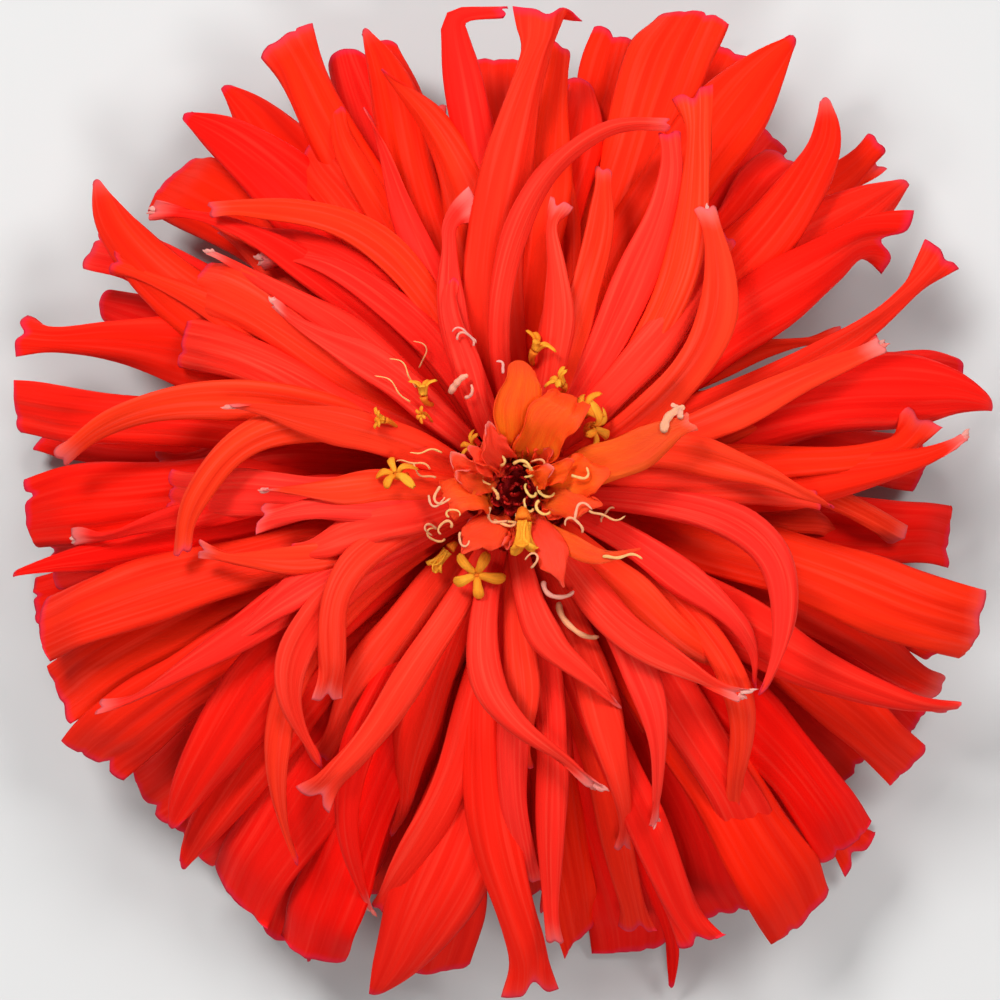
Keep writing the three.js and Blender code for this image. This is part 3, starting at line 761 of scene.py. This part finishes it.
def raySection(u, v, width, roll, fold, luck):
    # across and down for each place on the ray; the middle lies flat and the edges roll under
    left = roll * (0.72 + 0.5 * luck() + 0.2 * np.sin(4 * u + 6 * luck()))
    right = roll * (0.72 + 0.5 * luck() + 0.2 * np.sin(4 * u + 6 * luck()))
    slope = np.radians(np.where(v < 0, left, right)) * np.sign(v) * np.abs(v) ** fold
    count = 2 if width > 5 else 1
    strength = rayFinish["furrow"] * (0.5 + 0.8 * luck())
    shift = about(0.5, luck)
    fade = np.sin(math.pi * np.clip(u, 0.05, 0.97)) ** 0.4
    furrow = np.sin(2 * math.pi * count * (v - shift)) * (1 - v ** 2)
    ribs = np.sin(math.pi * (count * 4 + 1) * v + 7 * shift)
    slope = slope - strength * fade * furrow - rayFinish["rib"] * fade * ribs
    middle = (slope[:, 1:] + slope[:, :-1]) / 2
    start, step = np.zeros((len(u), 1)), np.diff(v)
    x = np.concatenate([start, np.cumsum(np.cos(middle) * step, axis=1)], axis=1)
    z = np.concatenate([start, np.cumsum(-np.sin(middle) * step, axis=1)], axis=1)
    low, high = x.min(axis=1, keepdims=True), x.max(axis=1, keepdims=True)
    size = 2 / (high - low)
    return (x - (high + low) / 2) * size, (z - z.max(axis=1, keepdims=True)) * np.minimum(size, 1.25)


def raySheet(ray, layer, turn, luck, thickness, cup=1.0):
    # the upper and lower skin of one ray, and its places along and across
    form, width = ray[6], ray[5]
    shape = rayForms[form]
    hook = (ray[8] if len(ray) > 8 else 0) + about(rayFinish["strayHook"], luck)
    bent, heading, length = raySpine(ray, layer, hook)
    u, v = sheetGrid(rayFinish["rows"], rayFinish["columns"])
    u = 1 - (1 - u) ** 1.35  # closer rows towards the end
    cut, lobeLift = tipCut(form, v, width, ray[9] if len(ray) > 9 else 0, luck)
    t = u - cut * easeIn(0.7, 1, u) / length
    centre, forward = alongSpine(bent, t), unit(alongSpine(heading, t))
    up = unit(upward - forward * forward[..., 2:])
    side = np.cross(forward, up)
    sway = rayFinish["sway"] * ripple(u, 1.2, luck)
    tipTurn = about(2 * math.radians(shape["twist"]), luck) * easeIn(0.5, 1, u)
    tilt = about(2 * math.radians(rayFinish["tilt"]), luck) * easeIn(0, 0.35, u)
    angle = (turn * t + sway * u + tipTurn + tilt)[..., None]
    up, side = up * np.cos(angle) + side * np.sin(angle), side * np.cos(angle) - up * np.sin(angle)
    half = width / 2 * smoothCurve(shape["width"], u)
    half = half * (1 + rayFinish["swell"] * ripple(u, 2.3, luck) * easeIn(0.1, 0.5, u))
    fold = shape["fold"] * (0.8 + 0.5 * luck())
    x, z = raySection(u, v, width, smoothCurve(shape["roll"], u), fold, luck)
    wave = rayFinish["wave"] * (luck() - 0.3) * ripple(u, 1.5, luck)
    curl = rayFinish["tipCurl"] * (luck() - 0.5 + shape["curl"]) * easeIn(0.86, 1, u)
    if layer["tip"] < rayFinish["lowTip"]:
        curl = np.maximum(curl, -0.4)
    lift = z * half * cup + (wave * u + curl) + lobeLift * easeIn(0.88, 1, u)
    crinkle = rayFinish["crinkle"] * np.sin(2 * math.pi * (u * 4.5 + v * 0.7 + luck()))
    lift = lift + crinkle * np.abs(v) ** 3 * easeIn(0.25, 0.7, u)
    bow = rayFinish["bow"] * ripple(u, 1.7, luck) * u
    upper = centre + side * (x * half + bow)[..., None] + up * lift[..., None]
    if abs(hook) < rayFinish["slightHook"]:
        miss = at(ray[3], ray[4], 0) - upper[-1].mean(axis=0)
        upper = upper + miss * (1, 1, 0) * easeIn(0.25, 1, u)[..., None]
    normal = unit(np.cross(np.gradient(upper, axis=1), np.gradient(upper, axis=0)))
    thick = thickness * (1 - 0.5 * v ** 2) * (1.25 - 0.55 * u)
    return upper, upper - normal * thick[..., None], u, v


def addScale(pile, foot, tip, outward, width, thickness, bulge, shade, tone, rows=12, columns=9, fringe=0.0):
    # a scale from its foot to its tip, rounded at the end and bulging outward
    u, v = sheetGrid(rows, columns)
    side = unit(np.cross(tip - foot, outward))
    out = unit(np.cross(side, tip - foot))
    half = width / 2 * smoothCurve([(0, 0.7), (0.5, 1.0), (0.8, 0.86), (0.95, 0.5), (1, 0.25)], u)
    bow = bulge * np.sin(math.pi * u) - 0.28 * half * v ** 2
    ragged = fringe * np.sin(v * 17) * u ** 3
    upper = foot + (tip - foot) * (u + ragged)[..., None] + side * (half * v)[..., None]
    upper = upper + out * bow[..., None]
    addSheet(pile, (upper, upper - out * thickness, u, v), shade, 0.0, tone)


def addScaleRings(pile, rings, stray, bulge, fringe, luck):
    # a ring is a count of scales, reach and height of foot and tip, and width; stray is how far a scale's
    # place and its tip's angle, reach and height may vary
    for count, foot, tip, width in rings:
        for i in range(count):
            angle = roundPlace(i, count, stray[0], luck)
            swing, reach, height = [about(spread, luck) for spread in stray[1:]]
            start, end = at(angle, *foot), at(angle + swing, tip[0] + reach, tip[1] + height)
            outward = at(angle, 1, 0)
            addScale(pile, start, end, outward, width, 0.2, bulge, luck(), luck(), fringe=fringe)


def addFlakes(pile, upper, size, luck):
    # dried scraps that curl at the end of a ray
    tip, back = upper[-1].mean(axis=0), upper[-5].mean(axis=0)
    heading = unit(tip - back)
    aside = unit(upper[-1, -1] - upper[-1, 0])
    for way in (-1, 1):
        reach = size * (0.7 + 0.5 * luck())
        lean = 0.5 + 0.6 * luck()
        end = tip + (heading + aside * way * lean + upward * (0.5 * luck() - 0.1)) * reach
        start = tip - heading * 0.35 + aside * way * 0.15
        width = size * (0.6 + 0.4 * luck())
        addScale(pile, start, end, upward, width, 0.10, 0.12 * size, luck(), luck(), 8, 7, 0.16)


shadeFill = {
    "count": 34,
    "reach": (35, 47),
    "width": (2.6, 4.4),
    "forms": ("quill", "point", "neck", "strap"),
}


def shadeRays():
    # narrow rays that fill the shade between the listed ones
    source = np.random.RandomState(41)
    luck = source.random
    rays = []
    for i in range(shadeFill["count"]):
        angle = roundPlace(i, shadeFill["count"], 0.8, luck)
        bend = about(14, luck)
        reach = between(shadeFill["reach"], luck)
        width = between(shadeFill["width"], luck)
        form = shadeFill["forms"][source.randint(4)]
        pale = 0.4 * luck()
        rays.append((angle - bend, angle, 0.62 * reach, angle + bend * 1.4, reach, width, form, pale))
    return rays


# What stands or lies on the rays looks for their skins near its place
raySkins, youngSkins = [], []
standing = {
    "skinReach": 26,  # how far out the skins are kept
    "near": 0.7,  # how far from the place counts as there
    "bareHeight": 36.5,  # where there is no ray
}


def standingHeight(x, y, skins):
    points = np.concatenate(skins)
    near = np.hypot(points[:, 0] - x, points[:, 1] - y) < standing["near"]
    return points[near, 2].max() if near.any() else standing["bareHeight"]


rayTones = {
    "coralLayer": 6,  # rays grow from scarlet to coral up to this layer
    "spread": 0.35,
    "flakesFrom": 0.55,  # how pale an end is that carries dried scraps
    "dry": [(0.82, 0.17, 0.14), (0.80, 0.42, 0.36)],
}


def buildRays():
    turns = numberSource(7)
    luck = newLuck(23)
    scraps = newPile()
    for depth, layer in enumerate(rayLayers):
        pile = newPile()
        for ray in layer["rays"] or shadeRays():
            turn = math.radians(rayFinish["twist"]) * (2 * next(turns) - 1)
            sheet = raySheet(ray, layer, turn, luck, rayFinish["thickness"])
            pale = ray[7] if len(ray) > 7 else 0.0
            tone = (depth / rayTones["coralLayer"]) ** 1.5 + about(rayTones["spread"], luck)
            addSheet(pile, sheet, luck(), pale, np.clip(tone, 0, 1))
            skin = sheet[0].reshape(-1, 3)
            raySkins.append(skin[np.hypot(skin[:, 0], skin[:, 1]) < standing["skinReach"]])
            if pale > rayTones["flakesFrom"]:
                addFlakes(scraps, sheet[0], 0.3 + 0.55 * pale, luck)
        makePiece(layer["name"], pile, petal, ["ray_florets"])
    dry = toneMaterial("dryEnd", rayTones["dry"], 0.65, 0.1)
    makePiece("dryEnds", scraps, dry, ["ray_florets"])


buildRays()

# Young rays round the disc: short, thin and cupped, orange with a yellow base
youngRays = {
    "root": (3.3, 37.9), "mid": 44.5, "tip": 45.6, "droops": False,
    "thickness": 0.2,
    # the same numbers as a ray, then how much it cups upward, how coral it is and how pale its end is
    "rays": [
        (90, 88, 8, 87, 13.6, 5.0, "blunt", 0.5, 0.0, 0.0),
        (66, 63, 7.2, 60, 11.8, 5.4, "strap", 0.5, 0.1, 0.0),
        (34, 33, 3.4, 32, 4.6, 2.2, "tongue", 1.3, 0.1, 0.6),
        (28, 27, 4.8, 27, 6.8, 2.4, "tongue", 0.9, 0.0, 0.1),
        (22, 17, 12, 21, 20.5, 5.0, "quill", -0.8, 0.4, 0.3),
        (12, 9, 6.6, 12, 10.0, 5.0, "tongue", -0.7, 0.1, 0.0),
        (352, 351, 6.2, 350, 9.2, 4.2, "wedge", -0.6, 0.5, 0.0),
        (318, 315, 8.5, 334, 14.6, 2.6, "point", -0.6, 0.5, 0.0),
        (300, 299, 6.5, 297, 11.4, 3.6, "wedge", -0.6, 1.0, 0.1),
        (236, 234, 6, 231, 8.6, 4.2, "wedge", -0.5, 0.8, 0.0),
        (190, 189, 5.0, 188, 7.6, 4.4, "strap", -0.3, 0.3, 0.0),
        (166, 166, 4.8, 165, 6.4, 2.4, "tongue", 1.0, 0.6, 0.4),
        (154, 153, 5.2, 151, 7.6, 3.0, "tongue", 1.1, 0.8, 0.5),
        (136, 136, 4.8, 137, 6.6, 2.6, "tongue", 0.9, 0.9, 0.3),
        (114, 114, 5.4, 112, 7.6, 3.2, "tongue", 1.1, 1.0, 0.6),
    ],
}

# Tiny unopened rays between the young ones
buds = {
    "count": 17,
    "layer": {"root": (3.6, 37.9), "mid": 41.6, "droops": False},
    "tip": (42.4, 43.2),  # between these heights
    "reach": (4.2, 5.0),
    "cup": 1.1,
}


def buildYoungRays():
    turns = numberSource(11)
    luck = newLuck(31)
    pile = newPile()
    for i in range(buds["count"]):
        angle = roundPlace(i, buds["count"], 0.7, luck)
        reach = between(buds["reach"], luck)
        swing = angle + about(14, luck)
        end = reach + 0.9 + 0.8 * luck()
        bud = (angle, swing, reach, swing, end, 1.3 + 0.8 * luck(), "spoon")
        layer = dict(buds["layer"], tip=between(buds["tip"], luck))
        sheet = raySheet(bud, layer, 0, luck, youngRays["thickness"], -buds["cup"])
        addSheet(pile, sheet, luck(), 0.6 * luck(), 0.3 + 0.6 * luck())
    for ray in youngRays["rays"]:
        cup, tone, pale = ray[7:]
        turn = math.radians(rayFinish["twist"]) * (2 * next(turns) - 1)
        sheet = raySheet(ray[:7], youngRays, turn, luck, youngRays["thickness"], -cup)
        addSheet(pile, sheet, luck(), pale, tone)
        youngSkins.append(sheet[0].reshape(-1, 3))
    makePiece("youngRays", pile, youngPetal, ["young_rays"])


buildYoungRays()

# Disc: a dark maroon dish with fringed scales round it
disc = {
    "profile": [
        (0, 36.8), (2.2, 36.8), (2.35, 37.4), (2.3, 38.4), (1.8, 38.3), (1.1, 37.9), (0.5, 37.8), (0, 37.8)],
    "scales": [
        (15, (2.1, 37.6), (2.7, 41.1), 1.1),
        (12, (1.4, 37.6), (1.7, 40.6), 0.8),
        (7, (0.6, 37.6), (0.6, 40.2), 0.6),
    ],
    "stray": (0.6, 26, 0.5, 1.4),
    "maroon": [(0.40, 0.004, 0.006), (0.78, 0.03, 0.02)],
}


def buildDisc():
    pile = turnedPile(disc["profile"], 48, 0.03)
    addScaleRings(pile, disc["scales"], disc["stray"], 0.2, 0.06, newLuck(5))
    material = toneMaterial("discMaroon", disc["maroon"], 0.6, 0.1)
    makePiece("discDish", pile, material, ["disc"])


buildDisc()

# Disc florets: a tube that opens in five velvety yellow lobes
florets = {
    "lobeLength": 2.7,
    "lobeWidth": 1.1,
    "lobe": [(0, 0.6), (0.35, 0.8), (0.7, 1.0), (0.9, 0.86), (1, 0.4)],  # share of the width along a lobe
    "tubeRadius": 0.5,
    "tube": [0.7, 0.7, 0.75, 0.8, 0.9, 1.0, 1.15, 1.3],  # share of the radius along the tube
    # angle, reach, height above the rays, lean in degrees and its direction, turn, size, and how far it
    # opens, from a bell 0 to a star 1
    "places": [
        (38, 11.0, 3.0, 62, 340, 20, 0.95, 0.75),
        (49, 11.6, 3.2, 52, 140, 30, 0.9, 0.8),
        (66, 12.6, 2.4, 70, 130, 0, 0.7, 0.5),
        (82, 15.4, 1.6, 78, 60, 20, 0.8, 0.45),
        (134, 14.4, 1.6, 80, 95, 0, 0.75, 0.35),
        (140.6, 13.0, 1.2, 50, 200, 30, 0.4, 0.6),
        (152, 16.2, 1.2, 80, 170, 10, 0.6, 0.5),
        (134, 6.6, 3.0, 66, 150, 10, 0.6, 0.6),
        (172, 13.2, 1.9, 42, 120, 15, 0.85, 0.85),
        (222, 9.8, 2.0, 84, 228, 15, 0.95, 0.16),
        (245.5, 10.2, 2.6, 10, 250, 33, 1.08, 0.95),
    ],
    "discPlace": (284, 3.5, 5.2, 72, 271, 18, 1.4, 0.22),  # stands on the disc,
    "discHeight": 38.3,  # which is this high
    "yellow": [(0.76, 0.14, 0.01), (0.97, 0.26, 0.012), (0.98, 0.41, 0.028)],
}


def addFloret(pile, place, ground, luck):
    angle, reach, height, lean, leanWay, turn, size, opening = place
    centre = at(angle, reach, ground + height)
    axis = unit(at(leanWay, math.sin(math.radians(lean)), math.cos(math.radians(lean))))
    sideA = unit(np.cross(axis, np.array([0.13, 0.99, 0.0])))
    sideB = np.cross(axis, sideA)
    foot = at(angle, reach * 0.9, ground - 0.8)
    share = np.linspace(0, 1, len(florets["tube"]))[:, None]
    bend = centre - axis * 1.4 * size
    path = (1 - share) ** 2 * foot + 2 * share * (1 - share) * bend + share ** 2 * (centre - axis * 0.2)
    addTube(pile, path, florets["tubeRadius"] * size * np.array(florets["tube"]), 8, 0.2, luck())
    u, v = sheetGrid(12, 7)
    for k in range(5):
        a = math.radians(turn + 72 * k + about(8, luck))
        aside = sideA * math.cos(a) + sideB * math.sin(a)
        across = np.cross(axis, aside)
        wide = math.radians(90 * opening + about(12, luck))
        out = aside * math.sin(wide) + axis * math.cos(wide)
        top = axis * math.sin(wide) - aside * math.cos(wide)
        reachOut = (0.25 + florets["lobeLength"] * u * (0.75 + 0.35 * luck())) * size
        rise = (0.6 * np.sin(math.pi * u * 0.8) - (0.4 + 2.2 * luck()) * opening * u ** 3) * size
        half = florets["lobeWidth"] / 2 * size * smoothCurve(florets["lobe"], u) * (0.85 + 0.3 * luck())
        trough = (0.10 * luck() - 0.34) * size * v ** 2
        thick = 0.36 * size * (1.1 - 0.5 * v ** 2)
        upper = centre + out * reachOut[..., None] + across * (half * v)[..., None]
        upper = upper + top * (rise + trough)[..., None]
        addSheet(pile, (upper, upper - top * thick[..., None], u, v), luck(), 0.0, 0.6 + 0.4 * luck())


def buildFlorets():
    luck = newLuck(9)
    outer, inner = newPile(), newPile()
    for place in florets["places"]:
        x, y, _ = at(place[0], place[1], 0)
        addFloret(outer, place, standingHeight(x, y, raySkins), luck)
    addFloret(inner, florets["discPlace"], florets["discHeight"], luck)
    material = toneMaterial("floretYellow", florets["yellow"], 0.7, 0.2)
    makePiece("outerFlorets", outer, material, ["ray_florets"])
    makePiece("discFloret", inner, material, ["disc"])


buildFlorets()

# Styles: thin curls. Each is an angle and reach where it starts, the way it heads, its length, how far it
# turns, how far it rises, its thickness and its tone from cream-yellow 0 to pink 1. Those beyond the disc
# lie on the rays.
styles = {
    "curls": [
        (287, 10.6, 300, 4.4, 140, 0.9, 0.28, 0.9),
        (291, 13.4, 290, 6.2, 95, 3.2, 0.36, 0.6),
        (123, 12.8, 60, 2.6, -50, 0.5, 0.4, 0.8),
        (118, 11.4, 30, 1.8, 120, 0.5, 0.26, 0.9),
        (22, 17.4, 70, 3.6, -70, 0.6, 0.5, 0.7),
        (24, 19.6, 100, 1.8, 90, 0.4, 0.34, 0.8),
        (106, 16.4, 100, 3.6, 150, 0.5, 0.17, 1.0),
        (111, 17.6, 40, 3.0, -160, 0.4, 0.18, 0.9),
        (92, 2.9, 10, 3.0, -150, 0.6, 0.25, 0.1),
        (70, 2.9, 330, 2.6, -190, 0.6, 0.23, 0.0),
        (120, 3.1, 60, 2.4, 170, 0.5, 0.21, 0.2),
        (40, 3.3, 60, 2.8, 210, 0.8, 0.2, 0.5),
        (12, 2.6, 280, 2.8, 170, 0.6, 0.25, 0.05),
        (350, 2.3, 200, 2.4, -200, 0.5, 0.23, 0.0),
        (334, 2.8, 260, 2.8, 190, 0.6, 0.25, 0.1),
        (312, 2.9, 180, 2.2, -170, 0.5, 0.21, 0.15),
        (206, 2.1, 100, 1.4, 60, 0.3, 0.26, 0.3),
        (216, 3.4, 280, 3.4, 140, 0.5, 0.23, 0.6),
        (236, 4.0, 330, 3.6, 150, 0.5, 0.23, 0.45),
        (256, 3.6, 10, 2.2, -150, 0.4, 0.21, 0.3),
        (150, 3.4, 220, 2.2, 190, 0.5, 0.2, 0.3),
        (178, 8.2, 250, 3.6, 200, 0.6, 0.21, 0.6),
        (184, 9.4, 300, 3.0, 170, 0.5, 0.18, 0.7),
        (166, 9.6, 150, 4.0, 60, 0.5, 0.16, 0.4),
        (171, 8.8, 170, 3.4, -70, 0.5, 0.16, 0.5),
        (210, 8.0, 130, 3.0, 250, 0.6, 0.2, 0.5),
        (215, 9.4, 200, 3.4, -230, 0.6, 0.18, 0.4),
        (206, 9.6, 160, 2.8, 240, 0.5, 0.18, 0.6),
        (218, 7.6, 260, 2.6, 210, 0.5, 0.18, 0.6),
        (202, 7.8, 90, 2.6, -250, 0.5, 0.16, 0.3),
        (334, 7.2, 80, 3.4, -160, 0.6, 0.21, 0.7),
        (328, 8.6, 100, 3.4, 200, 0.6, 0.2, 0.6),
        (344, 8.4, 330, 4.2, 60, 0.4, 0.18, 0.5),
        (340, 10.0, 80, 2.6, -130, 0.4, 0.18, 0.6),
        (14, 6.4, 340, 2.8, 160, 0.5, 0.21, 0.3),
        (96, 12.8, 80, 1.8, 120, 0.4, 0.21, 1.0),
        (140, 15.0, 130, 5.0, 30, 0.8, 0.12, 0.3),
        (134, 15.6, 110, 4.6, 60, 0.8, 0.12, 0.3),
        (128, 17.0, 60, 4.0, 130, 0.8, 0.12, 0.5),
        (153, 9.0, 178, 3.6, 20, 0.4, 0.15, 0.3),
        (323, 12.0, 10, 4.4, -30, 0.5, 0.23, 0.25),
        (282, 8.6, 60, 3.2, 230, 0.5, 0.18, 0.6),
    ],
    "steps": 20,
    "stalkSteps": 5,
    "discHeight": 41.8,
    "discReach": 4.5,  # a curl that starts further out lies on the rays
    "cream": [(0.86, 0.58, 0.16), (0.90, 0.40, 0.17), (0.88, 0.36, 0.30)],
}


def addCurl(pile, curl, luck):
    angle, reach, heading, length, turn, rise, thick, tone = curl
    share = np.linspace(0, 1, styles["steps"])
    wiggle = (22 if thick < 0.24 else 6) * np.sin(share * 8 + 6 * luck())
    way = np.radians(heading + turn * (share - 0.15) + wiggle)
    step = length / (styles["steps"] - 1)
    x = np.concatenate([[0], np.cumsum(np.cos(way))[:-1]]) * step
    y = np.concatenate([[0], np.cumsum(np.sin(way))[:-1]]) * step
    z = rise * np.sin(math.pi * share) + 0.2 * share
    path = at(angle, reach, styles["discHeight"]) + np.stack([x, y, z], -1)
    if thick < 0.27:
        thick *= 0.76
    deep = 3.0
    if reach > styles["discReach"]:
        under = np.array([standingHeight(px, py, raySkins + youngSkins) for px, py in path[:, :2]])
        level = np.percentile(under, 92)
        under = np.pad(np.clip(under, level - 0.9, level + 0.5), 4, mode="edge")
        under = np.convolve(under, np.full(9, 1 / 9), mode="valid")  # evens out the steps from ray to ray
        path[:, 2] = under + 0.5 + 0.7 * thick + 0.6 * z
        deep = 0.4
    stalk = path[0] + upward * np.linspace(-deep, -0.2, styles["stalkSteps"])[:, None]
    beads = 1 + 0.1 * np.sin(share * 21 + 6 * luck())
    radii = np.append(np.full(len(stalk), thick * 0.6), thick * (1 - 0.35 * share ** 2) * beads)
    radii[-1] *= 0.5
    addTube(pile, np.concatenate([stalk, path]), radii, 8, tone, luck())


def buildStyles():
    luck = newLuck(13)
    near, far = newPile(), newPile()
    for curl in styles["curls"]:
        addCurl(near if curl[1] < styles["discReach"] else far, curl, luck)
    material = toneMaterial("styleCream", styles["cream"], 0.5, 0.2)
    makePiece("discStyles", near, material, ["disc"])
    makePiece("rayStyles", far, material, ["ray_florets"])


buildStyles()

# Cone inside the rays, which carries their roots, with chaffy scales and a collar round the disc
cone = {
    "profile": [(0, 19), (10.2, 19), (10.1, 21), (9.2, 24), (7.8, 28), (5.9, 32.5), (4.3, 36.4), (0, 36.5)],
    "chaff": [
        (22, (6.6, 29), (7.6, 33.5), 1.9),
        (20, (5.6, 31.5), (6.6, 36.6), 1.8),
        (18, (4.4, 34), (5.6, 39.2), 1.6),
        (16, (3.9, 35.5), (4.9, 40.6), 1.4),
    ],
    "stray": (0.5, 10, 0.8, 1.2),
    "collar": (3.25, 37.6, 0.62),  # reach, height and half its thickness
    "red": [(0.34, 0.004, 0.003), (0.66, 0.016, 0.004)],
}


def addHoop(pile, reach, height, radius, steps=32, sides=10):
    # a closed hoop of round section
    around, turn = roundAngles(steps)[:, None], roundAngles(sides)[None, :]
    out = reach + radius * np.cos(turn)
    up = height + radius * np.sin(turn) + 0 * around
    points = np.stack([out * np.cos(around), out * np.sin(around), up], -1)
    number = np.arange(steps * sides).reshape(steps, sides)
    after = np.roll(number, -1, axis=0)
    faces = np.stack([number, after, np.roll(after, -1, axis=1), np.roll(number, -1, axis=1)], -1)
    addPoints(pile, points.reshape(-1, 3), faces.reshape(-1, 4), newMarks([number.size]))


def buildCone():
    pile = turnedPile(cone["profile"], 64, 0.015)
    addScaleRings(pile, cone["chaff"], cone["stray"], 0.3, 0.05, newLuck(29))
    material = toneMaterial("receptacle", cone["red"], 0.7, 0.1)
    makePiece("receptacle", pile, material, ["ray_florets"])
    collar = newPile()
    addHoop(collar, *cone["collar"])
    makePiece("discCollar", collar, material, ["young_rays"])


buildCone()

# Cup of overlapping green bracts with dark rounded margins
cup = {
    "profile": [
        (0, 8.7), (3.8, 8.7), (5.4, 9.1), (7.2, 10.0), (8.6, 11.2), (9.7, 12.7),
        (10.4, 14.2), (10.6, 15.7), (10.5, 17.2), (10.4, 18.6), (0, 18.7)],
    "rows": [
        {"count": 8, "foot": 9.0, "tip": 12.4, "width": 5.4, "turn": 0},
        {"count": 10, "foot": 10.5, "tip": 15.2, "width": 6.4, "turn": 18},
        {"count": 12, "foot": 12.5, "tip": 18.3, "width": 6.2, "turn": 7},
    ],
    "green": (0.11, 0.21, 0.035),
    "deepGreen": (0.055, 0.12, 0.02),
    "margin": (0.035, 0.012, 0.008),
}


def cupReach(height):
    reaches, heights = zip(*cup["profile"][1:-1])
    return float(np.interp(height, heights, reaches))


def bractMaterial():
    material, tree, shader = newMaterial("bractGreen", 0.6, 0.5)
    streak = ramp(tree, streaks(tree, 2.0, 8.0), [(0.35, 0.0), (0.65, 1.0)])
    away = maths(tree, "MAXIMUM", maths(tree, "ABSOLUTE", mark(tree, "across")), mark(tree, "along"))
    margin = times(tree, ramp(tree, away, [(0.86, 0.0), (0.94, 1.0)]), mark(tree, "tone"))
    colour = tinted(tree, cup["green"], cup, [(streak, "deepGreen"), (margin, "margin")])
    dress(tree, shader, colour, streaks(tree, 6.0, 20.0, 4.0), 0.6, 0.0003)
    return material


def buildCup():
    pile = turnedPile(cup["profile"], 72)
    luck = newLuck(17)
    for depth, row in enumerate(cup["rows"]):
        for i in range(row["count"]):
            angle = row["turn"] + 360 * i / row["count"]
            foot = at(angle, cupReach(row["foot"]) + 0.05, row["foot"])
            tip = at(angle, cupReach(row["tip"]) + 0.75 - 0.15 * depth, row["tip"])
            addScale(pile, foot, tip, at(angle, 1, 0), row["width"], 0.5, 0.55, luck(), 1.0, 16, 13)
    makePiece("bractCup", pile, bractMaterial(), ["involucre"])


buildCup()

# Cut stub of stem, ribbed and softly hairy
stem = {
    "radius": 2.8,
    "swell": [(0.0, 0.90), (0.12, 0.965), (0.5, 1.0), (4.0, 1.0), (6.6, 1.1), (8.1, 1.26), (8.4, 1.22)],
    "heights": [0.0, 0.1, 0.5, 1.5, 2.5, 3.5, 4.5, 5.5, 6.6, 7.4, 8.1, 8.4],
    "ribs": 9,
    "ribDepth": 0.022,
    "hairs": 260,
    "hairLength": 0.8,
    "hairRadii": [0.045, 0.035, 0.01],
    "green": [(0.20, 0.32, 0.09), (0.55, 0.60, 0.42)],  # stem, then hairs
}


def stemReach(height):
    return stem["radius"] * float(smoothCurve(stem["swell"], np.array(height)))


def buildStem():
    profile = [(stemReach(height), height) for height in stem["heights"]]
    pile = turnedPile([(0, 0), *profile, (0, stem["heights"][-1])], 72)
    skin = pile["points"][0]
    angles = np.arctan2(skin[:-2, 1], skin[:-2, 0])
    skin[:-2, :2] *= (1 + stem["ribDepth"] * np.cos(angles * stem["ribs"]))[:, None]
    luck = newLuck(3)
    for _ in range(stem["hairs"]):
        height = 0.8 + 7.0 * luck()
        angle = 360 * luck()
        reach = stemReach(height)
        foot = at(angle, reach * 0.97, height)
        swing = angle + about(6, luck)
        tip = at(swing, reach + stem["hairLength"] * (0.6 + 0.4 * luck()), height + 0.3)
        addTube(pile, [foot, (foot + tip) / 2, tip], stem["hairRadii"], 4, 1.0, luck())
    material = toneMaterial("stemGreen", stem["green"], 0.6, 0.1)
    makePiece("stemStub", pile, material, ["stem"])


buildStem()
print("zinnia: flower built")

# Floor and light
floorLook = {"size": 3.0, "height": -0.0002, "pale": (0.59, 0.60, 0.60), "paler": (0.63, 0.63, 0.62)}


def buildFloor():
    bpy.ops.mesh.primitive_plane_add(size=floorLook["size"], location=(0, 0, floorLook["height"]))
    floor = bpy.context.object
    floor.name = "floor"
    material, tree, shader = newMaterial("floorPale", 0.8, 0.5)
    place = tree.nodes.new("ShaderNodeNewGeometry").outputs["Position"]
    colour = mixed(tree, noise(tree, place, 9.0, 2.0), floorLook["pale"], floorLook["paler"])
    tree.links.new(colour, shader.inputs["Base Color"])
    floor.data.materials.append(material)


lighting = {
    "world": 0.15,
    "sky": (0.95, 0.97, 1.0, 1),
    # name, place from the flower in metres, size, power
    "lamps": [
        ("skyLamp", (-0.38, 0.52, 0.85), 0.34, 8.1),
        ("rightLamp", (0.5, 0.42, 0.9), 0.5, 5.7),
        ("faceLamp", (0.05, -0.6, 1.1), 0.4, 5.1),
    ],
    "aimHeight": 0.02,
}


def buildLight():
    world = bpy.data.worlds.new("world")
    bpy.context.scene.world = world
    world.use_nodes = True
    sky = world.node_tree.nodes["Background"]
    sky.inputs["Color"].default_value = lighting["sky"]
    sky.inputs["Strength"].default_value = lighting["world"]
    for name, place, size, power in lighting["lamps"]:
        data = bpy.data.lights.new(name, "AREA")
        data.shape = "DISK"
        data.size = size
        data.energy = power
        lamp = bpy.data.objects.new(name, data)
        lamp.location = place
        bpy.context.collection.objects.link(lamp)
        x, y, z = place
        tilt = math.atan2(math.hypot(x, y), z - lighting["aimHeight"])
        lamp.rotation_euler = (tilt, 0, math.atan2(y, x) + math.pi / 2)
    view = bpy.context.scene.view_settings
    view.view_transform = "Standard"
    view.look = "None"


buildFloor()
buildLight()
print("zinnia: floor and light set")
